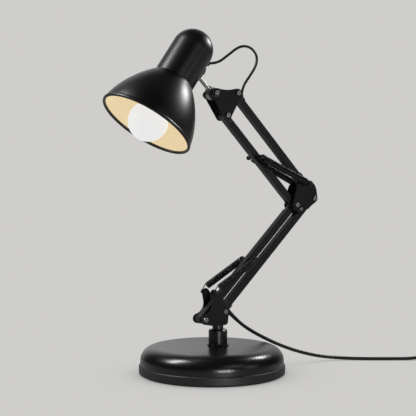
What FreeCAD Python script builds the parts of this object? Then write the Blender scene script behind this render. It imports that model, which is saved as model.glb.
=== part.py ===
import FreeCAD, Part
import math
import os

# Architect lamp on a round weighted base. Millimetres and degrees. The frame stands on the base's
# bottom centre with Z up. The arms lie in the X-Z plane: the shade reaches towards -X, the elbow
# and the cord towards +X, and the bolt heads are on the near side, -Y.

# Base
base_radius = 106.5
pad_thickness = 1.5
pad_inset = 4.5
skirt_height = 14.0
skirt_edge = 2.0
pan_floor = 2.0
pan_wall = 3.0
cover_step = 2.0
cover_height = 40.0
cover_shoulder = 20.0
cover_wall = 1.5
weight_thickness = 10.0
weight_gap = 1.0
weight_boss_radius = 17.0
base_screw_count = 4
base_screw_circle = 70.0
base_screw_radius = 2.5
base_screw_length = 8.0
base_screw_head_radius = 4.5
base_screw_head_height = 1.4

# Post socket and pin
post_offset = 10.0
socket_flange_radius = 15.5
socket_flange_height = 2.0
socket_radius = 13.75
socket_height = 23.5
socket_bevel = 1.5
socket_floor = 5.0
socket_stud_radius = 6.0
socket_nut_across = 19.0
socket_nut_height = 6.0
pin_radius = 8.0
pin_neck = 7.2
pin_rivet_radius = 5.0
pin_rivet_head_radius = 7.0
pin_rivet_head_height = 1.8

# Arms: tubes, pivots and cranks, at the pose of the photograph
tube_side = 10.4
tube_wall = 1.0
lower_arm_length = 231.7
lower_arm_angle = 45.7
lower_crank = 34.4
lower_crank_angle = 197.0
lower_pivot_back = 5.0
lower_pivot_rise = 19.3
upper_arm_length = 180.2
upper_arm_angle = 133.5
upper_crank = 37.8
upper_crank_angle = 241.7
tilt_reach = 37.7
tilt_angle = 183.2

# Ferrules on the tube ends
ferrule_wall = 1.0
ferrule_length = 17.0
tube_setback = 8.0
fork_slot = 6.6
fork_depth = 15.0
tongue_thickness = 6.0
lower_spout_distance = 8.0
upper_spout_distance = 17.2
upper_spout_tilt = 40.0
spout_length = 4.0
spout_radius = 3.4
crossing_drop = 24.0
crossing_set = 16.0

# Sheet brackets
sheet = 1.5
lower_bracket_half_width = 13.0
lower_lobe = 7.0
lower_rear_lobe = 6.0
lower_foot_radius = 5.0
lower_foot_front = 16.0
lower_foot_rear = 4.5
lower_waist_back = 14.0
lower_waist_rise = 2.0
lower_waist_radius = 6.0
lower_inner_corner = 16.0
spring_ear_reach = 33.5
spring_ear_angle = 124.5
spring_ear_radius = 5.8
elbow_half_width = 12.0
elbow_shared_lobe = 7.5
elbow_rear_lobe = 6.0
elbow_crown_drop = 13.9
elbow_crown_radius = 19.3
elbow_stop_lobe = 7.0
elbow_stop_radius = 1.5
elbow_stop_drop = 30.0
elbow_stop_share = 0.44
head_half_width = 12.0
head_lobe = 6.5
head_dip = 2.0
head_dip_radius = 57.0
tilt_lobe = 7.0

# Fasteners
bolt_radius = 2.0
bolt_head_radius = 3.8
bolt_head_height = 2.4
bolt_tip = 1.0
nut_across = 7.0
nut_height = 3.2
bush_radius = 5.0
stop_head_radius = 2.9
stop_nut_across = 5.5
tilt_washer_radius = 6.5
tilt_washer_height = 0.8

# Springs
wire = 1.4
coil_radius = 3.5
coil_turns = 12
hook_radius = 3.3
hook_lead = 6.5
hook_sweep = 245.0
stud_radius = 2.0
stud_overhang = 3.0
stud_cap_radius = 3.4
stud_cap_height = 1.4
ear_cap_radius = 2.8
lower_stud_distance = 118.0
upper_stud_distance = 98.5
spring_seat_width = 9.2
spring_seat_radius = 2.4

# Head: shade, cap and stem, along the head's axis from the mouth
head_lean = 33.6
mouth_radius = 70.2
shade_depth = 77.0
shade_fullness = 1.5
shade_wall = 1.2
rim_bead = 2.2
cap_radius = 30.3
cap_length = 86.0
cap_wall = 1.2
cap_lip = 8.5
tilt_out = 61.3
tilt_rise = 23.3
stem_radius = 2.8
stem_rise = 6.0
eye_radius = 9.0
eye_half_thickness = 4.0
strap_wall = 1.5
strap_rise = 0.2
strap_height = 18.0
strap_half_angle = 24.0
rivet_radius = 1.6
rivet_head_radius = 3.0
rivet_head_height = 1.2
rivet_drop = 4.5
rivet_spread = 13.0
grommet_gap = 9.0
grommet_tilt = 33.0
grommet_radius = 4.2
grommet_lip = 1.3
grommet_flange = 2.0
grommet_spout = 3.0

# Lampholder and bulb, along the head's axis from the mouth
holder_sink = 25.0
holder_rise = 15.0
holder_radius = 19.0
holder_bore = 14.2
holder_bore_depth = 32.0
holder_flange_radius = 21.8
holder_flange_height = 3.0
ring_radius = 27.0
ring_height = 6.5
contact_wall = 0.6
contact_height = 22.0
contact_button_radius = 3.0
bulb_radius = 28.3
bulb_proud = 23.3
bulb_waist_radius = 25.5
bulb_wall = 1.5
bulb_neck_radius = 15.0
bulb_neck_gap = 3.0
bulb_collar_radius = 13.6
bulb_base_radius = 13.2
bulb_base_sink = 5.0
bulb_base_length = 24.0
bulb_tip_radius = 4.5
bulb_tip_height = 1.2

# Thumb nut on the far end of the tilt bolt
thumb_hub_radius = 5.5
thumb_hub_height = 6.5
thumb_wing_length = 15.0
thumb_wing_radius = 4.5
thumb_wing_thickness = 2.6
thumb_wing_angle = 62.0

# Leads and mains cord
lead_diameter = 3.9
lead_inner_run = 13.0
grommet_approach = 21.0
loop_reach = 40.8
loop_rise = 73.0
loop_sag_run = 11.8
loop_entry_run = 12.0
cord_diameter = 5.2
floor_rest = 0.1
cord_exit_run = 13.0
cord_reach = 198.0
floor_run = 154.0
floor_swing = 79.0
switch_lead_run = 22.0
link_length = 50.0
link_end_run = 16.0
coil_inner_radius = 26.0
coil_step = 6.0
coil_loops = 5.25
tail_length = 52.0
tail_end_run = 17.0
tie_thickness = 0.6
tie_width = 8.0
tie_slack = 0.6

# Inline switch and plug
switch_length = 62.0
switch_width = 27.0
switch_height = 17.0
switch_split = 8.5
switch_corner = 8.0
switch_edge = 2.0
switch_window_length = 17.0
switch_window_width = 11.0
rocker_gap = 0.4
rocker_length = 15.6
rocker_width = 10.0
rocker_radius = 13.0
rocker_rise = 1.8
rocker_depth = 3.2
rocker_pin_radius = 1.0
rocker_pin_length = 1.6
plug_length = 34.0
plug_width = 25.0
plug_height = 17.0
plug_taper = 0.78
plug_relief_length = 26.0
plug_relief_radius = 5.2
plug_turn = -90.0
blade_length = 17.5
blade_width = 6.3
blade_thickness = 1.5
blade_pitch = 12.7
blade_root = 5.0

# Clearances
fit = 0.05
running_fit = 0.06
open_pivot_fit = 0.15
side_gap = 0.15
seat_gap = 0.3

os.makedirs("parts", exist_ok=True)
vector = FreeCAD.Vector
along_x = vector(1, 0, 0)
along_y = vector(0, 1, 0)
along_z = vector(0, 0, 1)


def export(name, *shapes):
    shape = shapes[0] if len(shapes) == 1 else Part.makeCompound(list(shapes))
    shape.exportStep("parts/" + name + ".step")


def polar(angle):
    turned = math.radians(angle)
    return vector(math.cos(turned), 0, math.sin(turned))


def right_of(direction):
    return vector(direction.z, 0, -direction.x)


def shifted(point, lateral):
    return point + along_y * lateral


def rod(start, end, radius):
    return Part.makeCylinder(radius, (end - start).Length, start, end - start)


def cross_rod(centre, low, high, radius):
    return rod(shifted(centre, low), shifted(centre, high), radius)


def revolved(points, centre=vector(0, 0, 0)):
    # A closed profile of (radius, height) points turned round the vertical axis.
    corners = [vector(radius, 0, height) for radius, height in points]
    face = Part.Face(Part.makePolygon(corners + corners[:1]))
    solid = face.revolve(vector(0, 0, 0), along_z, 360)
    solid.translate(centre)
    return solid


def washer(centre, low, high, outer, inner):
    ring = cross_rod(centre, low, high, outer)
    return ring.cut(cross_rod(centre, low - 1, high + 1, inner))


def hexagon(centre, low, high, across, hole):
    corner = across / math.sqrt(3)
    points = [shifted(centre + polar(60 * step) * corner, low) for step in range(7)]
    prism = Part.Face(Part.makePolygon(points)).extrude(along_y * (high - low))
    return prism.cut(cross_rod(centre, low - 1, high + 1, hole))


def belt(circles):
    # The outline of a plate that wraps round circles, given anticlockwise as (centre, radius).
    normals = []
    for index, (centre, radius) in enumerate(circles):
        following, following_radius = circles[(index + 1) % len(circles)]
        span = following - centre
        lean = (radius - following_radius) / span.Length
        direction = vector(span).normalize()
        normals.append(direction * lean + right_of(direction) * math.sqrt(1 - lean * lean))
    edges = []
    for index, (centre, radius) in enumerate(circles):
        arrive = normals[index - 1]
        leave = normals[index]
        first = centre + arrive * radius
        last = centre + leave * radius
        turn = math.atan2(arrive.x * leave.z - arrive.z * leave.x, arrive.dot(leave)) % (2 * math.pi)
        start_angle = math.atan2(arrive.z, arrive.x)
        middle = centre + polar(math.degrees(start_angle + turn / 2)) * radius
        edges.append(Part.Arc(first, middle, last).toShape())
        following, following_radius = circles[(index + 1) % len(circles)]
        edges.append(Part.makeLine(last, following + leave * following_radius))
    return Part.Face(Part.Wire(edges))


def plate(face, low, high):
    solid = face.copy()
    solid.translate(along_y * low)
    return solid.extrude(along_y * (high - low))


def inner_corners(solid, reach=0.2, looks=16):
    # Straight edges along Y that lie in a corner which is open by less than a half turn.
    found = []
    for edge in solid.Edges:
        start = edge.Vertexes[0].Point
        end = edge.Vertexes[-1].Point
        if abs(abs(end.y - start.y) - edge.Length) > 1e-6 or edge.Length < 1e-6:
            continue
        middle = (start + end) * 0.5
        around = [middle + polar(360.0 * step / looks) * reach for step in range(looks)]
        filled = sum(solid.isInside(point, 1e-6, True) for point in around)
        if filled > looks * 0.6:
            found.append(edge)
    return found


def pivot_bolt(centre, low, high, radius, head_radius):
    # Pan head on the near side at low, and a shank that passes the nut on the far side at high.
    shank = cross_rod(centre, low, high + nut_height + bolt_tip, radius)
    head = cross_rod(centre, low - bolt_head_height, low, head_radius)
    crown = low - bolt_head_height + centre.y
    rim = [edge for edge in head.Edges if abs(edge.CenterOfMass.y - crown) < 1e-6]
    head = head.makeFillet(bolt_head_height * 0.55, rim)
    return head.fuse(shank).removeSplitter()


def arc_between(start, heading, end):
    # The arc that leaves start along heading and ends at end.
    chord = end - start
    along = vector(chord).normalize()
    side = heading - along * heading.dot(along)
    if side.Length < 1e-7:
        return Part.makeLine(start, end)
    lean = math.atan2(side.Length, heading.dot(along))
    bulge = chord.Length / 2 * math.tan(lean / 2)
    middle = (start + end) * 0.5 + side.normalize() * bulge
    return Part.Arc(start, middle, end).toShape()


def biarc(start, heading, end, leaving):
    # Two arcs that join smoothly, from start along heading to end along leaving.
    span = end - start
    both = heading + leaving
    bend = 2 * (1 - heading.dot(leaving))
    if bend < 1e-9:
        reach = span.dot(span) / (2 * span.dot(both))
    else:
        reach = (math.sqrt(span.dot(both) ** 2 + bend * span.dot(span)) - span.dot(both)) / bend
    joint = (start + end + (heading - leaving) * reach) * 0.5
    middle_heading = (end - leaving * reach - start - heading * reach).normalize()
    return [arc_between(start, heading, joint), arc_between(joint, middle_heading, end)]


def wound_wire(stations):
    # A smooth wire through (point, heading) stations.
    edges = []
    for (start, heading), (end, leaving) in zip(stations, stations[1:]):
        if (end - start).normalize().dot(heading) > 1 - 1e-9:
            edges.append(Part.makeLine(start, end))
        else:
            edges.extend(biarc(start, heading, end, leaving))
    return Part.Wire(edges)


def section(start, heading, radius, sides):
    # A round section, or a faceted one of the same reach, square to the heading.
    if sides == 0:
        return Part.Wire(Part.makeCircle(radius, start, heading))
    across = heading.cross(along_y)
    if across.Length < 0.1:
        across = heading.cross(along_z)
    across.normalize()
    upward = heading.cross(across)
    points = []
    for step in range(sides + 1):
        turned = 2 * math.pi * step / sides
        points.append(start + across * (radius * math.cos(turned)) + upward * (radius * math.sin(turned)))
    return Part.makePolygon(points)


def swept(wire_path, start, heading, radius, sides=0):
    shell = Part.BRepOffsetAPI.MakePipeShell(wire_path)
    shell.add(section(start, heading, radius, sides))
    shell.build()
    shell.makeSolid()
    return shell.shape()


def self_gap(path, diameter):
    # The least gap between stretches of a wound wire that lie more than a turn's part apart.
    points = path.discretize(Distance=diameter * 0.5)
    step = path.Length / (len(points) - 1)
    skip = int(diameter * 3.2 / step) + 1
    least = path.Length
    for index, point in enumerate(points):
        for other in points[index + skip:]:
            least = min(least, (point - other).Length)
    return least - diameter


def rounded_route(points, name, diameter):
    # Straight runs joined by tangent arcs, each as large as its two runs allow.
    edges = []
    radii = []
    last = points[0]
    for before, corner, after in zip(points, points[1:], points[2:]):
        arriving = corner - before
        leaving = after - corner
        turn = arriving.getAngle(leaving)
        trim = 0.45 * min(arriving.Length, leaving.Length)
        radii.append(trim / math.tan(turn / 2))
        begin = corner - vector(arriving).normalize() * trim
        finish = corner + vector(leaving).normalize() * trim
        edges.append(Part.makeLine(last, begin))
        edges.append(arc_between(begin, vector(arriving).normalize(), finish))
        last = finish
    edges.append(Part.makeLine(last, points[-1]))
    path = Part.Wire(edges)
    print(name, "radii", [round(radius, 1) for radius in radii], "length", round(path.Length, 1))
    return path


def cord_tube(points, diameter, name):
    path = rounded_route(points, name, diameter)
    heading = vector(points[1] - points[0]).normalize()
    tube = swept(path, points[0], heading, diameter / 2)
    expected = math.pi * diameter ** 2 / 4 * path.Length
    print(name, "volume over section times length", round(tube.Volume / expected, 4))
    return tube


# Pivots of the two parallelograms
lower_direction = polar(lower_arm_angle)
upper_direction = polar(upper_arm_angle)
socket_top = cover_height + socket_height
web_bottom = socket_top + pin_neck
lower_rear_pivot = vector(post_offset + lower_pivot_back, 0, web_bottom + lower_pivot_rise)
lower_front_pivot = lower_rear_pivot + polar(lower_crank_angle) * lower_crank
elbow_rear_pivot = lower_rear_pivot + lower_direction * lower_arm_length
elbow_shared_pivot = lower_front_pivot + lower_direction * lower_arm_length
elbow_top_pivot = elbow_shared_pivot - polar(upper_crank_angle) * upper_crank
head_front_pivot = elbow_shared_pivot + upper_direction * upper_arm_length
head_rear_pivot = elbow_top_pivot + upper_direction * upper_arm_length
tilt_pivot = head_rear_pivot + polar(tilt_angle) * tilt_reach
lower_stud = lower_front_pivot + lower_direction * lower_stud_distance
upper_stud = elbow_shared_pivot + upper_direction * upper_stud_distance
spring_ear = lower_rear_pivot + polar(spring_ear_angle) * spring_ear_reach
arm_gap = right_of(lower_direction).dot(lower_rear_pivot - lower_front_pivot)
elbow_stop = elbow_rear_pivot - lower_direction * elbow_stop_drop
elbow_stop -= right_of(lower_direction) * (arm_gap * elbow_stop_share)
elbow_crown = elbow_top_pivot - along_z * elbow_crown_drop

# Half widths across the arms, outwards from the middle plane
tube_half = tube_side / 2
ferrule_half = tube_half + fit + ferrule_wall
lower_inner = lower_bracket_half_width - sheet
elbow_inner = elbow_half_width - sheet
head_inner = head_half_width - sheet
lower_spring_middle = lower_bracket_half_width + spring_seat_width / 2
upper_spring_middle = elbow_half_width + spring_seat_width / 2

# Heights along the head's axis
tilt_up = shade_depth + tilt_rise
holder_front = shade_depth - holder_sink
holder_back = shade_depth + holder_rise
bulb_neck_end = holder_front - bulb_neck_gap
bulb_base_start = holder_front + bulb_base_sink
strap_low = tilt_up + strap_rise
strap_high = strap_low + strap_height
rivet_height = strap_high - rivet_drop
grommet_height = strap_high + grommet_gap + grommet_radius / math.cos(math.radians(grommet_tilt))


def build_base():
    post = vector(post_offset, 0, 0)
    pad = Part.makeCylinder(base_radius - pad_inset, pad_thickness)
    pan_inner = base_radius - pan_wall
    floor_top = pad_thickness + pan_floor
    pan = revolved([
        (0, pad_thickness), (base_radius, pad_thickness), (base_radius, skirt_height),
        (pan_inner, skirt_height), (pan_inner, floor_top), (0, floor_top),
    ])
    flat = [edge for edge in pan.Edges if edge.BoundBox.ZLength < 1e-6]
    rims = [edge for edge in flat if abs(edge.BoundBox.XMax - base_radius) < 1e-6]
    pan = pan.makeFillet(skirt_edge, rims)

    outer = base_radius - cover_step
    inner = outer - cover_wall
    shell = Part.makeCylinder(outer, cover_height - skirt_height, along_z * skirt_height)
    hollow_top = cover_height - cover_wall
    hollow = Part.makeCylinder(inner, hollow_top - skirt_height, along_z * skirt_height)
    shell = shell.makeFillet(cover_shoulder, top_rims(shell, cover_height))
    hollow = hollow.makeFillet(cover_shoulder - cover_wall, top_rims(hollow, hollow_top))
    stud_hole = rod(post, post + along_z * cover_height * 2, socket_stud_radius + fit)
    cover = shell.cut(hollow).cut(stud_hole)

    weight_top = floor_top + weight_thickness
    weight = Part.makeCylinder(pan_inner - weight_gap, weight_thickness, along_z * floor_top)
    boss = rod(post + along_z * floor_top, post + along_z * hollow_top, weight_boss_radius)
    nut_pocket_top = floor_top + socket_nut_height + bolt_tip
    pocket = rod(post, post + along_z * nut_pocket_top, socket_nut_across * 0.62 + seat_gap)
    weight = weight.fuse(boss).removeSplitter().cut(pocket).cut(stud_hole)

    screws = []
    head_seat = pad_thickness + base_screw_head_height
    for index in range(base_screw_count):
        foot = polar(45 + 360.0 * index / base_screw_count) * base_screw_circle
        centre = vector(foot.x, foot.z, 0)
        head = rod(centre + along_z * pad_thickness, centre + along_z * head_seat, base_screw_head_radius)
        tip = centre + along_z * (head_seat + base_screw_length)
        screws.append(head.fuse(rod(centre + along_z * head_seat, tip, base_screw_radius)).removeSplitter())
        head_room = rod(centre, centre + along_z * head_seat, base_screw_head_radius + fit)
        pan = pan.cut(head_room).cut(rod(centre, tip, base_screw_radius + fit))
        weight = weight.cut(rod(centre, tip + along_z * bolt_tip, base_screw_radius + fit))

    nut_low = nut_pocket_top - socket_nut_height
    corner = socket_nut_across / math.sqrt(3)
    spokes = [polar(60 * step) * corner for step in range(7)]
    outline = [post + along_z * nut_low + vector(spoke.x, spoke.z, 0) for spoke in spokes]
    nut = Part.Face(Part.makePolygon(outline)).extrude(along_z * socket_nut_height)
    nut = nut.cut(rod(post, post + along_z * cover_height, socket_stud_radius + fit))

    flange_top = cover_height + socket_flange_height
    socket = rod(post + along_z * cover_height, post + along_z * flange_top, socket_flange_radius)
    socket = socket.fuse(rod(post + along_z * cover_height, post + along_z * socket_top, socket_radius))
    stud_foot = post + along_z * (nut_low + bolt_tip)
    socket = socket.fuse(rod(stud_foot, post + along_z * flange_top, socket_stud_radius))
    socket = socket.removeSplitter()
    socket = socket.makeChamfer(socket_bevel, top_rims(socket, socket_top))
    bore_floor = cover_height + socket_floor
    bore = rod(post + along_z * bore_floor, post + along_z * (socket_top + 1), pin_radius + running_fit)
    socket = socket.cut(bore)

    export("base_pad", pad)
    export("base_pan", pan)
    export("base_cover", cover)
    export("base_weight", weight)
    export("base_fasteners", nut, *screws)
    export("post_socket", socket)


def top_rims(solid, height):
    flat = [edge for edge in solid.Edges if edge.BoundBox.ZLength < 1e-6]
    return [edge for edge in flat if abs(edge.BoundBox.ZMax - height) < 1e-6]


def build_lower_bracket():
    bottom = web_bottom + lower_foot_radius
    foot_front = vector(post_offset - lower_foot_front, 0, bottom)
    foot_rear = vector(post_offset + lower_foot_rear, 0, bottom)
    waist = lower_rear_pivot + vector(-lower_waist_back, 0, lower_waist_rise)
    foot = belt([
        (lower_front_pivot, lower_lobe), (foot_front, lower_foot_radius),
        (foot_rear, lower_foot_radius), (lower_rear_pivot, lower_rear_lobe),
    ])
    neck = belt([
        (lower_rear_pivot, lower_rear_lobe), (spring_ear, spring_ear_radius), (waist, lower_waist_radius),
    ])
    cheeks = []
    for low in (-lower_bracket_half_width, lower_inner):
        cheek = plate(foot, low, low + sheet).fuse(plate(neck, low, low + sheet)).removeSplitter()
        cheek = cheek.makeFillet(lower_inner_corner, inner_corners(cheek))
        for centre, radius in (
            (lower_rear_pivot, bolt_radius), (lower_front_pivot, bolt_radius), (spring_ear, stud_radius),
        ):
            cheek = cheek.cut(cross_rod(centre, low - 1, low + sheet + 1, radius + fit))
        cheeks.append(cheek)
    web_start = vector(foot_front.x, -lower_bracket_half_width, web_bottom)
    web = Part.makeBox(foot_rear.x - foot_front.x, 2 * lower_bracket_half_width, sheet, web_start)
    post = vector(post_offset, 0, 0)
    bracket = cheeks[0].fuse([cheeks[1], web]).removeSplitter()
    bracket = bracket.cut(rod(post, post + along_z * (web_bottom + sheet + 1), pin_rivet_radius + fit))
    export("lower_bracket", bracket)

    web_top = web_bottom + sheet
    pin = rod(post + along_z * (cover_height + socket_floor), post + along_z * web_bottom, pin_radius)
    pin = pin.fuse(rod(post + along_z * web_bottom, post + along_z * web_top, pin_rivet_radius))
    rivet_top = web_top + pin_rivet_head_height
    pin = pin.fuse(rod(post + along_z * web_top, post + along_z * rivet_top, pin_rivet_head_radius))
    export("post_pin", pin.removeSplitter())
    pivots = [lower_rear_pivot, lower_front_pivot]
    export("lower_fasteners", *bolts_and_nuts(pivots, lower_bracket_half_width))
    export("lower_spacers", *spacers(pivots, ferrule_half, lower_inner))
    export("lower_ear_pins", *ear_pins())


def ear_pins():
    # A short headed pin on each ear, so that the front tube can swing up between the ears.
    reach = lower_spring_middle + stud_overhang
    pins = []
    for side in (-1, 1):
        foot = shifted(spring_ear, side * lower_inner)
        neck = shifted(spring_ear, side * reach)
        top = shifted(spring_ear, side * (reach + stud_cap_height))
        pins.append(rod(foot, neck, stud_radius).fuse(rod(neck, top, ear_cap_radius)).removeSplitter())
    return pins


def bolts_and_nuts(centres, half_width):
    pieces = []
    for centre in centres:
        pieces.append(pivot_bolt(centre, -half_width, half_width, bolt_radius, bolt_head_radius))
        pieces.append(hexagon(centre, half_width, half_width + nut_height, nut_across, bolt_radius + fit))
    return pieces


def spacers(centres, low, high):
    pieces = []
    for centre in centres:
        pieces.append(washer(centre, low + side_gap, high, bush_radius, bolt_radius + fit))
        pieces.append(washer(centre, -high, -low - side_gap, bush_radius, bolt_radius + fit))
    return pieces


def ferrule(pivot, direction, hole):
    # A moulded end with a round nose at the pivot and a sleeve over the tube.
    across = right_of(direction) * ferrule_half
    back = pivot + direction * ferrule_length
    nose = Part.Arc(pivot - across, pivot - direction * ferrule_half, pivot + across).toShape()
    sides = Part.makePolygon([pivot + across, back + across, back - across, pivot - across])
    outline = Part.Face(Part.Wire([nose] + sides.Edges))
    block = plate(outline, -ferrule_half, ferrule_half)
    bore = square_bar(pivot + direction * tube_setback, direction, ferrule_length, tube_half + fit)
    block = block.cut(bore)
    return block.cut(cross_rod(pivot, -ferrule_half - 1, ferrule_half + 1, hole))


def flat_bar(start, end, direction, half):
    # The face of a straight bar in the arms' plane.
    across = right_of(direction) * half
    return Part.Face(Part.makePolygon([
        start - across, start + across, end + across, end - across, start - across,
    ]))


def square_bar(start, direction, length, half):
    return plate(flat_bar(start, start + direction * length, direction, half), -half, half)


def square_tube(start, direction, length):
    outer = square_bar(start, direction, length, tube_half)
    bore = square_bar(start - direction, direction, length + 2, tube_half - tube_wall)
    return outer.cut(bore)


def arm_tube(pivot, direction, pivot_length):
    return square_tube(pivot + direction * tube_setback, direction, pivot_length - 2 * tube_setback)


def insert_end(pivot, direction, hole):
    # An end as wide as the tube, with a round nose at the pivot and a plug inside the tube.
    across = right_of(direction) * tube_half
    back = pivot + direction * fork_depth
    nose = Part.Arc(pivot - across, pivot - direction * tube_half, pivot + across).toShape()
    sides = Part.makePolygon([pivot + across, back + across, back - across, pivot - across])
    block = plate(Part.Face(Part.Wire([nose] + sides.Edges)), -tube_half, tube_half)
    plug_half = tube_half - tube_wall - fit
    block = block.fuse(square_bar(back, direction, ferrule_length - tube_setback, plug_half))
    return block.cut(cross_rod(pivot, -tube_half - 1, tube_half + 1, hole))


def fork_reach(pivot, direction):
    # The face of the stretch in which two insert ends share their pivot.
    start = pivot - direction * (tube_half + 1)
    return flat_bar(start, pivot + direction * (fork_depth - tube_wall), direction, tube_half + 1)


def tongue(block, pivot, direction):
    # Leaves only the middle of an end, for the fork of the other arm.
    face = fork_reach(pivot, direction)
    near = plate(face, -tube_half - 1, -tongue_thickness / 2)
    far = plate(face, tongue_thickness / 2, tube_half + 1)
    return block.cut([near, far])


def fork(block, pivot, direction):
    # Cuts the slot that takes the tongue of the other arm.
    return block.cut(plate(fork_reach(pivot, direction), -fork_slot / 2, fork_slot / 2))


def spout(pivot, direction, distance, outwards):
    # A moulded cord spout on a ferrule: its body, its bore and its mouth.
    root = pivot + direction * distance
    rise = ferrule_half / outwards.cross(direction).Length
    sunk = spout_radius * abs(outwards.dot(direction)) / outwards.cross(direction).Length
    mouth = root + outwards * (rise + spout_length)
    body = Part.makeCone(
        spout_radius, spout_radius * 0.82, spout_length + sunk, root + outwards * (rise - sunk), outwards)
    body = body.cut(square_bar(pivot + direction * tube_setback, direction, ferrule_length, tube_half + fit))
    bore_radius = lead_diameter / 2 + seat_gap
    bore = rod(root - outwards * bore_radius, mouth + outwards, bore_radius)
    return body, bore, mouth


lower_spout_way = right_of(lower_direction)
upper_spout_way = polar(upper_arm_angle - 90 + upper_spout_tilt)
lower_crossing = elbow_rear_pivot - lower_direction * crossing_drop
upper_crossing = elbow_top_pivot + upper_direction * crossing_set
crossing_way = vector(upper_crossing - lower_crossing).normalize()
crossing_room = rod(lower_crossing, upper_crossing, lead_diameter / 2 + seat_gap)
lower_spout, lower_bore, lower_spout_mouth = spout(
    lower_rear_pivot, lower_direction, lower_spout_distance, lower_spout_way)
upper_spout, upper_bore, upper_spout_mouth = spout(
    head_rear_pivot, upper_direction * -1, upper_spout_distance, upper_spout_way)


def build_lower_arm():
    hole = bolt_radius + running_fit
    foot = ferrule(lower_rear_pivot, lower_direction, hole).fuse(lower_spout).removeSplitter().cut(lower_bore)
    top = ferrule(elbow_rear_pivot, lower_direction * -1, hole)
    rear_tube = arm_tube(lower_rear_pivot, lower_direction, lower_arm_length)
    export("lower_rear_tube", rear_tube.cut(lower_bore).cut(crossing_room))
    export("lower_rear_ferrules", foot, top.cut(crossing_room))

    front_foot = ferrule(lower_front_pivot, lower_direction, hole)
    front_top = insert_end(elbow_shared_pivot, lower_direction * -1, bolt_radius + open_pivot_fit)
    front_top = tongue(front_top, elbow_shared_pivot, lower_direction * -1)
    front_start = lower_front_pivot + lower_direction * tube_setback
    front_end = elbow_shared_pivot - lower_direction * (fork_depth + fit)
    front_tube = square_tube(front_start, lower_direction, (front_end - front_start).Length)
    front_tube = front_tube.cut(cross_rod(lower_stud, -tube_half - 1, tube_half + 1, stud_radius + fit))
    export("lower_front_tube", front_tube)
    export("lower_front_ferrules", front_foot, front_top)
    export("lower_spring_stud", spring_stud(lower_stud, lower_spring_middle))

    start = lower_rear_pivot + lower_direction * lower_spout_distance
    inner = [lower_spout_mouth, start, lower_crossing, lower_crossing + crossing_way * crossing_exit()]
    export("lower_lead", cord_tube(inner, lead_diameter, "lower_lead"))


def crossing_exit():
    # How far the crossing lead stays with the lower tube, until it is clear of the tube's wall.
    return (tube_half + 1.0) / crossing_way.cross(lower_direction).Length


def crossing_entry():
    return (ferrule_half + 1.0) / crossing_way.cross(upper_direction).Length


def spring_stud(centre, spring_middle):
    reach = spring_middle + stud_overhang
    pin = cross_rod(centre, -reach, reach, stud_radius)
    for low in (-reach - stud_cap_height, reach):
        pin = pin.fuse(cross_rod(centre, low, low + stud_cap_height, stud_cap_radius))
    return pin.removeSplitter()


def build_elbow():
    outline = belt([
        (elbow_shared_pivot, elbow_shared_lobe), (elbow_stop, elbow_stop_lobe),
        (elbow_rear_pivot, elbow_rear_lobe), (elbow_crown, elbow_crown_radius),
    ])
    centres = [elbow_shared_pivot, elbow_rear_pivot, elbow_top_pivot]
    plates = []
    for low in (-elbow_half_width, elbow_inner):
        cheek = plate(outline, low, low + sheet)
        for centre in centres:
            cheek = cheek.cut(cross_rod(centre, low - 1, low + sheet + 1, bolt_radius + fit))
        cheek = cheek.cut(cross_rod(elbow_stop, low - 1, low + sheet + 1, elbow_stop_radius + fit))
        plates.append(cheek)
    export("elbow_plates", *plates)
    outer = elbow_half_width + spring_seat_width
    fasteners = bolts_and_nuts(centres[:2], elbow_half_width) + bolts_and_nuts(centres[2:], outer)
    fasteners.append(pivot_bolt(
        elbow_stop, -elbow_half_width, elbow_half_width, elbow_stop_radius, stop_head_radius))
    nut_end = elbow_half_width + nut_height
    fasteners.append(hexagon(elbow_stop, elbow_half_width, nut_end, stop_nut_across, elbow_stop_radius + fit))
    export("elbow_fasteners", *fasteners)
    bushes = spacers(centres[:1], tube_half, elbow_inner) + spacers(centres[1:], ferrule_half, elbow_inner)
    for low in (-outer, elbow_half_width):
        bushes.append(washer(
            elbow_top_pivot, low, low + spring_seat_width, spring_seat_radius, bolt_radius + fit))
    export("elbow_spacers", *bushes)
    start = lower_crossing + crossing_way * crossing_exit()
    end = upper_crossing - crossing_way * crossing_entry()
    export("elbow_lead", rod(start, end, lead_diameter / 2))


def build_upper_arm():
    hole = bolt_radius + running_fit
    top = ferrule(head_rear_pivot, upper_direction * -1, hole)
    top = top.fuse(upper_spout).removeSplitter().cut(upper_bore)
    foot = ferrule(elbow_top_pivot, upper_direction, hole).cut(crossing_room)
    rear_tube = arm_tube(elbow_top_pivot, upper_direction, upper_arm_length)
    export("upper_rear_tube", rear_tube.cut(upper_bore).cut(crossing_room))
    export("upper_rear_ferrules", foot, top)

    front_foot = insert_end(elbow_shared_pivot, upper_direction, hole)
    front_foot = fork(front_foot, elbow_shared_pivot, upper_direction)
    front_top = insert_end(head_front_pivot, upper_direction * -1, bolt_radius + open_pivot_fit)
    front_start = elbow_shared_pivot + upper_direction * (fork_depth + fit)
    front_end = head_front_pivot - upper_direction * (fork_depth + fit)
    front_tube = square_tube(front_start, upper_direction, (front_end - front_start).Length)
    front_tube = front_tube.cut(cross_rod(upper_stud, -tube_half - 1, tube_half + 1, stud_radius + fit))
    export("upper_front_tube", front_tube)
    export("upper_front_ferrules", front_foot, front_top)
    export("upper_spring_stud", spring_stud(upper_stud, upper_spring_middle))

    inside = head_rear_pivot - upper_direction * upper_spout_distance
    inner = [upper_crossing - crossing_way * crossing_entry(), upper_crossing, inside, upper_spout_mouth]
    export("upper_lead", cord_tube(inner, lead_diameter, "upper_lead"))


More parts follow.
